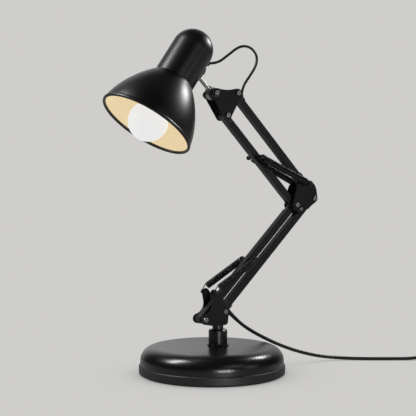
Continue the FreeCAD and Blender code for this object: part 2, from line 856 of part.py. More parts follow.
def hook(centre, outwards, aside):
    # The loop at a spring's end: in along one side, round the far side and part of the way back.
    stations = [(centre - aside * hook_radius, outwards)]
    steps = 4
    for step in range(1, steps + 1):
        turned = math.radians(hook_sweep * step / steps)
        place = centre + (aside * -math.cos(turned) + outwards * math.sin(turned)) * hook_radius
        heading = aside * math.sin(turned) + outwards * math.cos(turned)
        stations.append((place, heading))
    place, heading = stations[-1]
    stations.append((place + heading * wire, heading))
    return stations


def helix_spring(first, first_aside, last, last_aside, name):
    # A tension spring between two hook centres. Each hook's loop lies along its own aside.
    span = last - first
    axis = vector(span).normalize()
    body_start = first + axis * (hook_radius + hook_lead)
    body_end = last - axis * (hook_radius + hook_lead)
    body = (body_end - body_start).Length
    crosswise = axis.cross(first_aside)
    offset = math.atan2(last_aside.dot(crosswise), last_aside.dot(first_aside))
    start_angle = -math.pi / 2
    whole = 2 * math.pi * coil_turns + math.pi + offset
    halves = int(round(whole / math.pi))
    climb = body / whole
    stations = []
    for step in range(halves + 1):
        turned = start_angle + whole * step / halves
        spoke = first_aside * math.cos(turned) + crosswise * math.sin(turned)
        sideways = crosswise * math.cos(turned) - first_aside * math.sin(turned)
        place = body_start + spoke * coil_radius + axis * (body * step / halves)
        stations.append((place, (sideways * coil_radius + axis * climb).normalize()))
    near_hook = [(place, heading * -1) for place, heading in reversed(hook(first, axis * -1, first_aside))]
    stations = near_hook + stations + hook(last, axis, last_aside)
    path = wound_wire(stations)
    print(name, "least gap between turns", round(self_gap(path, wire), 2))
    return swept(path, stations[0][0], stations[0][1], wire / 2, 6)


def build_springs():
    spans = (
        ("lower", spring_ear, lower_stud, lower_spring_middle),
        ("upper", elbow_top_pivot, upper_stud, upper_spring_middle),
    )
    for arm, seat, stud, middle in spans:
        aside = right_of(vector(stud - seat).normalize())
        for side, lateral in (("near", -middle), ("far", middle)):
            name = arm + "_spring_" + side
            export(name, helix_spring(shifted(seat, lateral), aside, shifted(stud, lateral), aside, name))


def build_head_bracket():
    outline = belt([(tilt_pivot, tilt_lobe), (head_front_pivot, head_lobe), (head_rear_pivot, head_lobe)])
    centres = [head_front_pivot, head_rear_pivot]
    top_way = vector(head_rear_pivot - tilt_pivot).normalize()
    top_side = right_of(top_way) * -1
    top_edge = (tilt_pivot + head_rear_pivot) * 0.5 + top_side * ((tilt_lobe + head_lobe) / 2)
    dip_centre = top_edge + top_side * (head_dip_radius - head_dip)
    plates = []
    for low in (-head_half_width, head_inner):
        cheek = plate(outline, low, low + sheet)
        cheek = cheek.cut(cross_rod(dip_centre, low - 1, low + sheet + 1, head_dip_radius))
        for centre in centres + [tilt_pivot]:
            cheek = cheek.cut(cross_rod(centre, low - 1, low + sheet + 1, bolt_radius + fit))
        plates.append(cheek)
    export("head_plates", *plates)
    export("head_fasteners", *bolts_and_nuts(centres, head_half_width))
    bushes = spacers(centres[:1], tube_half, head_inner) + spacers(centres[1:], ferrule_half, head_inner)
    eye_side = eye_half_thickness + side_gap
    for low, high in ((eye_side, head_inner), (-head_inner, -eye_side)):
        bushes.append(washer(tilt_pivot, low, high, tilt_washer_radius, bolt_radius + fit))
    export("head_spacers", *bushes)
    low = -head_half_width - tilt_washer_height
    high = head_half_width + thumb_hub_height + side_gap
    collar = washer(tilt_pivot, low, -head_half_width, tilt_washer_radius, bolt_radius + fit)
    bolt = pivot_bolt(tilt_pivot, low, high - nut_height, bolt_radius, bolt_head_radius)
    export("tilt_bolt", bolt, collar)

    hub_low = head_half_width + side_gap
    hub = cross_rod(tilt_pivot, hub_low, hub_low + thumb_hub_height, thumb_hub_radius)
    tip = tilt_pivot + polar(thumb_wing_angle) * (thumb_wing_length - thumb_wing_radius)
    wing_face = belt([(tilt_pivot, thumb_hub_radius * 0.7), (tip, thumb_wing_radius)])
    wing_low = hub_low + thumb_hub_height - thumb_wing_thickness
    wing = plate(wing_face, wing_low, wing_low + thumb_wing_thickness)
    nut = hub.fuse(wing).removeSplitter()
    nut = nut.cut(cross_rod(tilt_pivot, hub_low - 1, high + bolt_tip + 1, bolt_radius + running_fit))
    export("tilt_thumb_nut", nut)


head_turn = FreeCAD.Rotation(along_y, head_lean)
mouth_centre = tilt_pivot - head_turn.multVec(vector(tilt_out, 0, tilt_up))
head_place = FreeCAD.Placement(mouth_centre, head_turn)


def on_head(shape):
    placed = shape.copy()
    placed.Placement = head_place.multiply(placed.Placement)
    return placed


def head_point(out, up):
    return head_place.multVec(vector(out, 0, up))


def bell(radius, crown_radius, depth):
    # A solid bell turned round its axis: upright at the mouth, drawn in faster towards the crown.
    height = depth / (1 - (crown_radius / radius) ** shade_fullness) ** (1 / shade_fullness)
    steps = 12
    points = []
    for step in range(steps + 1):
        level = depth * (step / steps) ** 1.4
        spread = radius * (1 - (level / height) ** shade_fullness) ** (1 / shade_fullness)
        points.append(vector(spread, 0, level))
    curve = Part.BSplineCurve()
    curve.interpolate(points)
    floor = Part.makeLine(vector(0, 0, 0), points[0])
    top = Part.makeLine(points[-1], vector(0, 0, depth))
    axis = Part.makeLine(vector(0, 0, depth), vector(0, 0, 0))
    profile = Part.Face(Part.Wire([floor, curve.toShape(), top, axis]))
    return profile.revolve(vector(0, 0, 0), along_z, 360)


def dome_can(radius, low, high):
    # A can with a half-round top, standing on low with its apex at high.
    can = Part.makeCylinder(radius, high - radius - low, along_z * low)
    ball = Part.makeSphere(radius, along_z * (high - radius))
    keep = Part.makeCylinder(radius + 1, radius + 1, along_z * (high - radius))
    return can.fuse(ball.common(keep)).removeSplitter()


grommet_way = polar(grommet_tilt)
grommet_seat = vector(cap_radius, 0, grommet_height)


def grommet_rod(start, end, radius):
    return rod(grommet_seat + grommet_way * start, grommet_seat + grommet_way * end, radius)


def build_shade_and_cap():
    spread = mouth_radius - rim_bead * 0.5
    outer = bell(spread, cap_radius, shade_depth)
    inner = bell(spread - shade_wall, cap_radius - shade_wall, shade_depth - shade_wall)
    shade = outer.cut(inner).cut(Part.makeCylinder(holder_radius + fit, shade_depth * 2))
    bead = Part.makeTorus(mouth_radius - rim_bead, rim_bead)
    export("shade", on_head(shade.fuse(bead).removeSplitter()))

    low = shade_depth
    top = shade_depth + cap_length
    cap = dome_can(cap_radius, low, top)
    hollow = dome_can(cap_radius - cap_wall, low + cap_wall, top - cap_wall)
    lip_bore = Part.makeCylinder(cap_radius - cap_lip, cap_wall * 3, along_z * (low - cap_wall))
    cap = cap.cut(hollow).cut(lip_bore)
    cap = cap.cut(grommet_rod(-cap_radius / 2, cap_radius / 2, grommet_radius - grommet_lip + fit))
    for level, way in rivet_spots():
        cap = cap.cut(rod(level, level + way * cap_radius * 2, rivet_radius + fit))
    export("cap", on_head(cap))

    neck = grommet_rod(-cap_wall - grommet_flange, grommet_spout, grommet_radius - grommet_lip)
    inside = grommet_rod(-cap_wall - grommet_flange, 0, grommet_radius)
    inside = inside.common(dome_can(cap_radius - cap_wall - fit, low, top - cap_wall - fit))
    outside = grommet_rod(-grommet_flange, grommet_flange, grommet_radius)
    outside = outside.cut(dome_can(cap_radius + fit, low, top + fit))
    grommet = neck.fuse([inside, outside]).removeSplitter()
    export("cap_grommet", on_head(grommet.cut(grommet_rod(-cap_radius, cap_radius, lead_diameter / 2 + fit))))


def rivet_spots():
    spots = []
    for side in (-1, 1):
        turned = math.radians(side * rivet_spread)
        spots.append((along_z * rivet_height, vector(math.cos(turned), math.sin(turned), 0)))
    return spots


def build_stem():
    inner = cap_radius + fit
    outer = inner + strap_wall
    ring = Part.makeCylinder(outer, strap_high - strap_low, along_z * strap_low)
    ring = ring.cut(Part.makeCylinder(inner, strap_high - strap_low, along_z * strap_low))
    reach = outer * 2
    edge = reach * math.tan(math.radians(strap_half_angle))
    axis_point = vector(0, 0, 0)
    wedge = Part.makePolygon([axis_point, vector(reach, -edge, 0), vector(reach, edge, 0), axis_point])
    strap = ring.common(Part.Face(wedge).extrude(along_z * shade_depth * 3))
    for level, way in rivet_spots():
        strap = strap.cut(rod(level, level + way * reach, rivet_radius + fit))

    eye_centre = vector(tilt_out, 0, tilt_up)
    root = vector(outer, 0, tilt_up + stem_rise)
    stem = rod(root - (eye_centre - root).normalize() * stem_radius, eye_centre, stem_radius)
    stem = stem.cut(Part.makeCylinder(outer, shade_depth * 3))
    eye = cross_rod(eye_centre, -eye_half_thickness, eye_half_thickness, eye_radius)
    stem = stem.fuse(eye).removeSplitter()
    through = eye_half_thickness + 1
    eye_bore = cross_rod(eye_centre, -through, through, bolt_radius + running_fit)
    export("head_strap", on_head(strap))
    export("head_stem", on_head(stem.cut(eye_bore)))

    rivets = []
    tail_start = cap_radius - cap_wall - rivet_head_height
    head_end = outer + rivet_head_height
    for level, way in rivet_spots():
        shank = rod(level + way * tail_start, level + way * head_end, rivet_radius)
        tail = rod(level + way * tail_start, level + way * (cap_radius - cap_wall), rivet_head_radius)
        tail = tail.common(Part.makeCylinder(cap_radius - cap_wall - fit, shade_depth * 3))
        head = rod(level + way * inner, level + way * head_end, rivet_head_radius)
        head = head.cut(Part.makeCylinder(outer + fit, shade_depth * 3))
        rivets.append(on_head(shank.fuse([head, tail]).removeSplitter()))
    export("strap_rivets", *rivets)


def build_lampholder():
    flange_low = shade_depth + cap_wall
    bore_end = holder_front + holder_bore_depth
    flange_high = flange_low + holder_flange_height
    lead_hole = lead_diameter / 2 + fit
    body = revolved([
        (holder_bore, holder_front), (holder_radius, holder_front), (holder_radius, flange_low),
        (holder_flange_radius, flange_low), (holder_flange_radius, flange_high),
        (holder_radius, flange_high), (holder_radius, holder_back),
        (lead_hole, holder_back), (lead_hole, bore_end), (holder_bore, bore_end),
    ])
    export("lampholder", on_head(body))
    ring_top = shade_depth - shade_wall
    ring = Part.makeCylinder(ring_radius, ring_height, along_z * (ring_top - ring_height))
    ring = ring.cut(Part.makeCylinder(holder_radius + fit, shade_depth * 2))
    rims = top_rims(ring, ring_top - ring_height)
    outer_rim = [edge for edge in rims if abs(edge.BoundBox.XMax - ring_radius) < 1e-6]
    export("shade_ring", on_head(ring.makeChamfer(ring_height * 0.3, outer_rim)))
    sleeve = Part.makeCylinder(holder_bore - fit, contact_height, along_z * (bore_end - contact_height))
    sleeve = sleeve.cut(Part.makeCylinder(holder_bore - fit - contact_wall, shade_depth * 3))
    button_low = bulb_base_start + bulb_base_length + bulb_tip_height
    button = Part.makeCylinder(contact_button_radius, bore_end - button_low, along_z * button_low)
    export("lampholder_contacts", on_head(sleeve), on_head(button))


def build_bulb():
    centre_up = bulb_radius - bulb_proud
    waist_up = centre_up + math.sqrt(bulb_radius ** 2 - bulb_waist_radius ** 2)
    below = Part.makeCylinder(bulb_radius + 1, waist_up + bulb_radius, along_z * (-bulb_radius))
    globe = Part.makeSphere(bulb_radius, along_z * centre_up).common(below)
    globe = globe.cut(Part.makeSphere(bulb_radius - bulb_wall, along_z * centre_up))
    export("bulb_globe", on_head(globe))
    neck = revolved([
        (0, waist_up), (bulb_waist_radius, waist_up), (bulb_waist_radius, waist_up + bulb_wall),
        (bulb_neck_radius, bulb_neck_end), (bulb_collar_radius, bulb_neck_end),
        (bulb_collar_radius, bulb_base_start), (0, bulb_base_start),
    ])
    export("bulb_neck", on_head(neck))
    base_end = bulb_base_start + bulb_base_length
    base = revolved([
        (0, bulb_base_start), (bulb_base_radius, bulb_base_start),
        (bulb_base_radius, base_end - bulb_tip_radius), (bulb_tip_radius, base_end),
        (bulb_tip_radius, base_end + bulb_tip_height), (0, base_end + bulb_tip_height),
    ])
    export("bulb_base", on_head(base))


def build_head_lead():
    # From the lampholder's back through the grommet, up and over in a loop, to the upper arm's spout.
    approach = grommet_seat - grommet_way * grommet_approach
    sag = grommet_seat + grommet_way * (grommet_spout + loop_sag_run)
    loop = (
        (-0.252, 0.778), (0.238, 0.989), (0.691, 1.0), (1.0, 0.845), (0.968, 0.626), (0.679, 0.393),
    )
    points = [head_point(0, holder_back), head_point(0, holder_back + lead_inner_run)]
    points += [head_place.multVec(approach), head_place.multVec(sag)]
    points += [head_rear_pivot + vector(reach * loop_reach, 0, rise * loop_rise) for reach, rise in loop]
    points += [upper_spout_mouth + upper_spout_way * loop_entry_run, upper_spout_mouth]
    export("head_lead", cord_tube(points, lead_diameter, "head_lead"))


# The cord on the floor: where it touches down, the switch and the coil
cord_rest = cord_diameter / 2 + floor_rest
touch_down = vector(lower_spout_mouth.x + cord_reach, 0, cord_rest)
switch_start = vector(touch_down.x + floor_run, -floor_swing, floor_rest + switch_split)
switch_end = switch_start + along_x * switch_length
coil_outer_radius = coil_inner_radius + coil_step * coil_loops / 2
coil_centre = vector(switch_end.x + link_length + cord_diameter, switch_end.y + coil_outer_radius, 0)


def coil_place(loops):
    # A point of the coil: two layers that spiral in, climb in the half turn where the spiral
    # reverses, and spiral out.
    reversal = coil_loops / 2
    radius = coil_inner_radius + coil_step * abs(loops - reversal)
    climbed = coil_step * min(max(loops - reversal + 0.25, 0), 0.5) * 2
    turned = 2 * math.pi * (loops - 0.25)
    flat = vector(math.cos(turned), math.sin(turned), 0) * radius
    return coil_centre + flat + along_z * (cord_rest + tie_thickness + climbed)


def coil_stations():
    quarters = int(coil_loops * 4)
    stations = []
    for step in range(quarters + 1):
        loops = coil_loops * step / quarters
        ahead = coil_place(min(loops + 0.01, coil_loops))
        behind = coil_place(max(loops - 0.01, 0))
        stations.append((coil_place(loops), (ahead - behind).normalize()))
    first, last = stations[0][0], stations[-1][0]
    heading = along_z.cross(first - coil_centre).normalize()
    leaving = along_z.cross(last - coil_centre).normalize()
    lead_in = (first - heading * cord_diameter, heading)
    lead_out = (last + leaving * cord_diameter, leaving)
    return [lead_in, (first, heading)] + stations[1:-1] + [(last, leaving), lead_out]


def build_mains_cord():
    stations = coil_stations()
    path = wound_wire(stations)
    print("cord_coil least gap between turns", round(self_gap(path, cord_diameter), 2))
    print("cord_coil length", round(path.Length, 1))
    export("cord_coil", swept(path, stations[0][0], stations[0][1], cord_diameter / 2, 8))
    coil_start, coil_heading = stations[0]
    coil_end, coil_leaving = stations[-1]

    mouth = lower_spout_mouth
    drop = (
        (0.142, 0.285), (0.278, 0.463), (0.443, 0.644), (0.614, 0.793), (0.788, 0.906), (0.937, 0.972),
    )
    floor = ((0.110, 0.177), (0.273, 0.405), (0.481, 0.633), (0.682, 0.842))
    points = [mouth, mouth + lower_spout_way * cord_exit_run]
    for reach, fall in drop:
        points.append(vector(mouth.x + reach * cord_reach, 0, mouth.z + fall * (cord_rest - mouth.z)))
    for reach, swing in floor:
        points.append(touch_down + vector(reach * floor_run, -swing * floor_swing, 0))
    points += [switch_start - along_x * switch_lead_run, switch_start]
    export("mains_lead", cord_tube(points, cord_diameter, "mains_lead"))
    link = [
        switch_end, switch_end + along_x * link_end_run,
        coil_start - coil_heading * link_end_run, coil_start,
    ]
    export("mains_link", cord_tube(link, cord_diameter, "mains_link"))

    plug_mouth = vector(coil_end.x, coil_end.y + tail_length, plug_height / 2 + floor_rest)
    tail = [
        coil_end, coil_end + coil_leaving * tail_end_run,
        plug_mouth - coil_leaving * tail_end_run, plug_mouth,
    ]
    export("mains_tail", cord_tube(tail, cord_diameter, "mains_tail"))
    build_tie()
    build_switch(switch_start, switch_end)
    build_plug(plug_mouth)


def rounded_box(corner, sizes, radius):
    # A box along Y with its four long edges rounded.
    box = Part.makeBox(sizes.x, sizes.y, sizes.z, corner)
    return box.makeFillet(radius, [edge for edge in box.Edges if edge.BoundBox.YLength > sizes.y * 0.9])


def build_tie():
    # A band round the coil's turns, on the side towards the lamp.
    reach = cord_diameter / 2 + tie_slack
    inner_edge = coil_inner_radius - reach
    outer_edge = coil_outer_radius + reach
    low = floor_rest + tie_thickness / 2
    high = cord_diameter + floor_rest + tie_thickness + coil_step + tie_slack
    start = vector(coil_centre.x - outer_edge, coil_centre.y - tie_width / 2, low)
    room = vector(outer_edge - inner_edge, tie_width, high - low)
    hole = rounded_box(start, room, cord_diameter / 2 - tie_thickness)
    grown = vector(tie_thickness, 0, tie_thickness / 2)
    band = rounded_box(start - grown, room + grown * 2, cord_diameter / 2)
    export("coil_tie", band.cut(hole))


def build_switch(start, end):
    # Two moulded shells that part along their length, with a rocker in the top.
    middle = (start + end) * 0.5
    flat_middle = vector(middle.x, middle.y, 0)
    low = floor_rest
    split = low + switch_split

    def block(length, width, bottom, top):
        corner = flat_middle + vector(-length / 2, -width / 2, bottom)
        return Part.makeBox(length, width, top - bottom, corner)

    case = block(switch_length, switch_width, low, low + switch_height)
    upright = [edge for edge in case.Edges if edge.BoundBox.ZLength > switch_height * 0.9]
    case = case.makeFillet(switch_corner, upright)
    case = case.makeFillet(switch_edge, [edge for edge in case.Edges if edge.BoundBox.ZLength < 1e-6])
    below = block(switch_length * 2, switch_width * 2, low - 1, split)
    room = block(switch_window_length, switch_window_width, split - rocker_depth, split + switch_height)
    axle = flat_middle + along_z * (split + rocker_depth)
    pin_room = switch_window_width / 2 + rocker_pin_length
    pin_bore = rocker_pin_radius + running_fit
    pivot_room = cross_rod(axle, -pin_room, pin_room, pin_bore)
    slot = block(2 * pin_bore, 2 * pin_room, axle.z - rocker_depth * 2, axle.z)
    export("switch_bottom", case.common(below).cut(room).cut(slot))
    export("switch_top", case.cut(below).cut(room).cut(pivot_room).cut(slot))

    crest = low + switch_height + rocker_rise
    dome_centre = flat_middle + along_z * (crest - rocker_radius)
    dome = cross_rod(dome_centre, -rocker_width / 2, rocker_width / 2, rocker_radius)
    rocker_bottom = axle.z - rocker_depth * 0.5
    rocker = dome.common(block(rocker_length, rocker_width, rocker_bottom, crest + rocker_depth))
    pin_reach = pin_room - rocker_gap
    rocker = rocker.fuse(cross_rod(axle, -pin_reach, pin_reach, rocker_pin_radius)).removeSplitter()
    export("switch_rocker", rocker)


def build_plug(mouth):
    # A moulded plug with a tapered relief behind and two flat blades in front, lying flat. It is
    # drawn along -X from its mouth and then turned to its place.
    place = FreeCAD.Placement(mouth, FreeCAD.Rotation(along_z, plug_turn))
    relief_end = along_x * -plug_relief_length
    slim = plug_relief_radius * 0.8
    stout = plug_relief_radius * 1.25
    relief = Part.makeCone(slim, stout, plug_relief_length, vector(0, 0, 0), along_x * -1)
    front = relief_end - along_x * plug_length
    body = Part.makeLoft([plug_face(relief_end, plug_taper), plug_face(front, 1.0)], True, True)
    long_edges = [edge for edge in body.Edges if edge.BoundBox.XLength > plug_length * 0.9]
    body = body.makeFillet(plug_height * 0.18, long_edges).fuse(relief).removeSplitter()
    blades = []
    for side in (-1, 1):
        corner = front - vector(blade_length, blade_thickness / 2, blade_width / 2)
        corner += along_y * (side * blade_pitch / 2)
        blade = Part.makeBox(blade_length + blade_root, blade_thickness, blade_width, corner)
        body = body.cut(blade)
        blade.Placement = place.multiply(blade.Placement)
        blades.append(blade)
    body.Placement = place.multiply(body.Placement)
    export("plug_body", body)
    export("plug_blades", *blades)


def plug_face(centre, share):
    half_width = plug_width * share / 2
    half_height = plug_height * share / 2
    corners = [(-1, -1), (1, -1), (1, 1), (-1, 1), (-1, -1)]
    offsets = [vector(0, side * half_width, rise * half_height) for side, rise in corners]
    return Part.makePolygon([centre + offset for offset in offsets])


build_base()
build_lower_bracket()
build_lower_arm()
build_elbow()
build_upper_arm()
build_springs()
build_head_bracket()
build_shade_and_cap()
build_stem()
build_lampholder()
build_bulb()
build_head_lead()
build_mains_cord()
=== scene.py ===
import math

import bmesh
import bpy
from mathutils import Matrix, Vector


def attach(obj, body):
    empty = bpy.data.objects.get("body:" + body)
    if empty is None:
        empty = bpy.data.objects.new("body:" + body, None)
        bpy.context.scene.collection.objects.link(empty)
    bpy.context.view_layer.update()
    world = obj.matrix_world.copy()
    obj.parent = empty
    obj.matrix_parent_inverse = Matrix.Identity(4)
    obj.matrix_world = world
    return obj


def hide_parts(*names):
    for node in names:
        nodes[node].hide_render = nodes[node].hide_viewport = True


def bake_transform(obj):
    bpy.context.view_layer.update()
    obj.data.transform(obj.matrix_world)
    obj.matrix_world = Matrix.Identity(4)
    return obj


# Architect lamp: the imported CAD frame, dressed. Sizes below are in millimetres, Blender's in metres.
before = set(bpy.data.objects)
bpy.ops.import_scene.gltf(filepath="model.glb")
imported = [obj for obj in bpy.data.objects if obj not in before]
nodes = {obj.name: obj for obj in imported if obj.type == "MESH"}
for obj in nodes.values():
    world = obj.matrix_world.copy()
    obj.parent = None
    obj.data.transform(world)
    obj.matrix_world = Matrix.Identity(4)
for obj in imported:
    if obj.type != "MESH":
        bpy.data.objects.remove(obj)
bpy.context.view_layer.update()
scene = bpy.context.scene
scene.view_settings.view_transform = "Standard"
millimetre = 0.001
weldDistance = 1e-6
print("frame loaded,", len(nodes), "nodes")


def at(x, y, z):
    return Vector((x, y, z)) * millimetre


def linear(hexColour):
    # sRGB hex to the linear colour that the shader wants
    channels = [int(hexColour[i:i + 2], 16) / 255 for i in (0, 2, 4)]
    return tuple(c / 12.92 if c < 0.04045 else ((c + 0.055) / 1.055) ** 2.4 for c in channels) + (1.0,)


def addNode(tree, kind, inputs=(), **settings):
    # one node with its settings; an input is a value, or another node's output
    made = tree.nodes.new(kind)
    for key, value in settings.items():
        setattr(made, key, value)
    for socket, value in dict(inputs).items():
        if isinstance(value, bpy.types.NodeSocket):
            tree.links.new(value, made.inputs[socket])
        else:
            made.inputs[socket].default_value = value
    return made


# Camera, at the photograph's place
cameraLook = {"place": (-640.06, -1096.9, 241.0), "turn": -30.0, "lens": 75.3, "sensor": 36, "reach": 60000}
cameraData = bpy.data.cameras.new("photoCamera")
cameraData.lens = cameraLook["lens"]
cameraData.sensor_width = cameraLook["sensor"]
cameraData.clip_end = cameraLook["reach"] * millimetre
camera = bpy.data.objects.new("photoCamera", cameraData)
camera.location = at(*cameraLook["place"])
cameraTurn = math.radians(cameraLook["turn"])
camera.rotation_euler = (math.radians(90), 0, cameraTurn)
scene.collection.objects.link(camera)
scene.camera = camera
viewAlong = Vector((-math.sin(cameraTurn), math.cos(cameraTurn), 0))
viewRight = Vector((math.cos(cameraTurn), math.sin(cameraTurn), 0))
print("camera set")

# Studio: an even pale surround for the camera, and for reflections a backdrop that is bright behind
# the lamp, less so on the right by rightShare, and gone overhead and towards the camera. The spans are
# where it fades, as shares of the reflection's heading. contact is the reach of the floor's painted shadow
studio = {
    "pale": "CFCECC", "backdrop": 0.73, "room": 0.035, "behindSpan": (0.7, 0.97),
    "asideSpan": (0.12, -0.12), "rightShare": 0.66, "overheadSpan": (0.85, 0.68),
    "floorSize": 9000, "floorMirrored": 0.6,
    "contact": 190, "contactSpan": (0.25, 0.95), "paintedShadowDark": 0.5,
}
world = bpy.data.worlds.new("studioSurround")
scene.world = world
world.use_nodes = True
tree = world.node_tree
tree.nodes.clear()
pale = linear(studio["pale"])
heading = addNode(tree, "ShaderNodeTexCoord").outputs["Generated"]
flat = addNode(tree, "ShaderNodeVectorMath", {0: heading, 1: (1, 1, 0)}, operation="MULTIPLY")
bearing = addNode(tree, "ShaderNodeVectorMath", {0: flat.outputs["Vector"]}, operation="NORMALIZE")
behind = addNode(tree, "ShaderNodeVectorMath", {
    0: bearing.outputs["Vector"], 1: viewAlong}, operation="DOT_PRODUCT")
aside = addNode(tree, "ShaderNodeVectorMath", {0: heading, 1: viewRight}, operation="DOT_PRODUCT")
upward = addNode(tree, "ShaderNodeSeparateXYZ", {"Vector": heading})
far = addNode(tree, "ShaderNodeMapRange", {
    "Value": behind.outputs["Value"], "From Min": studio["behindSpan"][0],
    "From Max": studio["behindSpan"][1]}, interpolation_type="SMOOTHSTEP")
leftward = addNode(tree, "ShaderNodeMapRange", {
    "Value": aside.outputs["Value"], "From Min": studio["asideSpan"][0],
    "From Max": studio["asideSpan"][1], "To Min": studio["rightShare"]}, interpolation_type="SMOOTHSTEP")
lowward = addNode(tree, "ShaderNodeMapRange", {
    "Value": upward.outputs["Z"], "From Min": studio["overheadSpan"][0],
    "From Max": studio["overheadSpan"][1]}, interpolation_type="SMOOTHSTEP")
share = addNode(tree, "ShaderNodeMath", {
    0: far.outputs["Result"], 1: leftward.outputs["Result"]}, operation="MULTIPLY")
panel = addNode(tree, "ShaderNodeMath", {
    0: share.outputs["Value"], 1: lowward.outputs["Result"]}, operation="MULTIPLY")
level = addNode(tree, "ShaderNodeMapRange", {
    "Value": panel.outputs["Value"], "To Min": studio["room"], "To Max": studio["backdrop"]})
reflected = addNode(tree, "ShaderNodeBackground", {"Color": level.outputs["Result"]})
seen = addNode(tree, "ShaderNodeBackground", {"Color": pale})
ray = addNode(tree, "ShaderNodeLightPath")
surround = addNode(tree, "ShaderNodeMixShader", {
    0: ray.outputs["Is Camera Ray"], 1: reflected.outputs["Background"], 2: seen.outputs["Background"]})
addNode(tree, "ShaderNodeOutputWorld", {"Surface": surround.outputs["Shader"]})

# The floor shines at the surround's own level, and carries a painted shadow: ambient occlusion darkens it
# where something stands on it or near it
floorPaint = bpy.data.materials.new("paleStudioFloor")
floorPaint.use_nodes = True
tree = floorPaint.node_tree
tree.nodes.clear()
nearby = addNode(tree, "ShaderNodeAmbientOcclusion", {
    "Distance": studio["contact"] * millimetre}, samples=12)
openness = addNode(tree, "ShaderNodeMapRange", {
    "Value": nearby.outputs["AO"], "From Min": studio["contactSpan"][0],
    "From Max": studio["contactSpan"][1], "To Min": studio["paintedShadowDark"]})
floorWithPaintedShadow = addNode(tree, "ShaderNodeMix", {
    "Factor": openness.outputs["Result"], "A": (0, 0, 0, 1), "B": pale}, data_type="RGBA")
ray = addNode(tree, "ShaderNodeLightPath")
floorStrength = addNode(tree, "ShaderNodeMapRange", {
    "Value": ray.outputs["Is Camera Ray"], "To Min": studio["floorMirrored"]})
glow = addNode(tree, "ShaderNodeEmission", {
    "Color": floorWithPaintedShadow.outputs[2], "Strength": floorStrength.outputs["Result"]})
addNode(tree, "ShaderNodeOutputMaterial", {"Surface": glow.outputs["Emission"]})
bm = bmesh.new()
bmesh.ops.create_circle(bm, cap_ends=True, segments=64, radius=studio["floorSize"] * millimetre)
floorMesh = bpy.data.meshes.new("studioFloor")
bm.to_mesh(floorMesh)
bm.free()
floorMesh.materials.append(floorPaint)
floor = bpy.data.objects.new("studioFloor", floorMesh)
scene.collection.objects.link(floor)

# Soft boxes: azimuth from the camera's side, right positive, then height angle, distance, size, power
# in watts, and the height that it is aimed at. The rim strip stands lower than the base's flat top, which
# would mirror it from behind
softBoxes = {
    "leftBox": {"azimuth": -79, "height": 43, "distance": 1250, "width": 260, "tall": 640, "power": 15.0},
    "rightBox": {"azimuth": 122, "height": 38, "distance": 1250, "width": 240, "tall": 260, "power": 7.2},
    "rimStrip": {"azimuth": 17, "height": 0, "distance": 349, "width": 110, "tall": 22, "power": 0.22,
                 "aim": 26},
    "frontFill": {"azimuth": 37, "height": 25, "distance": 1500, "width": 700, "tall": 420, "power": 1.0},
    "plateFill": {"azimuth": 62, "height": 8, "distance": 1500, "width": 520, "tall": 420, "power": 0.75},
}
lampMiddle = 230
for name, box in softBoxes.items():
    light = bpy.data.lights.new(name, "AREA")
    light.shape = "RECTANGLE"
    light.size = box["width"] * millimetre
    light.size_y = box["tall"] * millimetre
    light.energy = box["power"]
    turned = math.radians(box["azimuth"])
    risen = math.radians(box["height"])
    outward = (viewRight * math.sin(turned) - viewAlong * math.cos(turned)) * math.cos(risen)
    outward = outward + Vector((0, 0, math.sin(risen)))
    lightObject = bpy.data.objects.new(name, light)
    lightObject.location = at(0, 0, box.get("aim", lampMiddle)) + outward * box["distance"] * millimetre
    lightObject.rotation_euler = outward.to_track_quat("Z", "Y").to_euler()
    lightObject.visible_camera = False
    scene.collection.objects.link(lightObject)
print("studio lit")


def finishOf(name, look):
    # A solid finish: colour that drifts a little, roughness that drifts, and a grain in the surface.
    # grain and drift are sizes in millimetres, depth is the grain's depth, edge rounds sharp edges
    material = bpy.data.materials.new(name)
    material.use_nodes = True
    tree = material.node_tree
    tree.nodes.clear()
    place = addNode(tree, "ShaderNodeTexCoord").outputs["Object"]
    drift = addNode(tree, "ShaderNodeTexNoise", {
        "Vector": place, "Scale": 1 / (look["drift"] * millimetre), "Detail": 4.0, "Roughness": 0.6})
    grain = addNode(tree, "ShaderNodeTexNoise", {
        "Vector": place, "Scale": 1 / (look["grain"] * millimetre), "Detail": 3.0})
    colour = addNode(tree, "ShaderNodeMix", {
        "Factor": drift.outputs["Fac"], "A": linear(look["colours"][0]), "B": linear(look["colours"][1])},
        data_type="RGBA")
    rough = addNode(tree, "ShaderNodeMapRange", {
        "Value": drift.outputs["Fac"], "From Min": 0.3, "From Max": 0.7,
        "To Min": look["roughness"][0], "To Max": look["roughness"][1]})
    bump = addNode(tree, "ShaderNodeBump", {
        "Height": grain.outputs["Fac"], "Distance": look["depth"] * millimetre, "Strength": 1.0})
    if "edge" in look:
        edge = addNode(tree, "ShaderNodeBevel", {"Radius": look["edge"] * millimetre}, samples=4)
        tree.links.new(edge.outputs["Normal"], bump.inputs["Normal"])
    shader = addNode(tree, "ShaderNodeBsdfPrincipled", {
        "Base Color": colour.outputs[2], "Roughness": rough.outputs["Result"],
        "Normal": bump.outputs["Normal"], "Metallic": look.get("metallic", 0.0)})
    for socket, value in look.get("sockets", {}).items():
        shader.inputs[socket].default_value = value
    addNode(tree, "ShaderNodeOutputMaterial", {"Surface": shader.outputs["BSDF"]})
    return material


# Stove enamel on spun and pressed steel: deep black, soft reflections with a faint orange peel. The
# peel is drawn at 5 mm, coarser than the real 1.5 mm, so that it shows at this size.
enamel = finishOf("stoveEnamelBlack", {
    "colours": ("070707", "0B0B0C"), "drift": 60, "roughness": (0.32, 0.38), "grain": 5, "depth": 0.012,
    "edge": 0.35, "sockets": {"IOR": 1.5}})
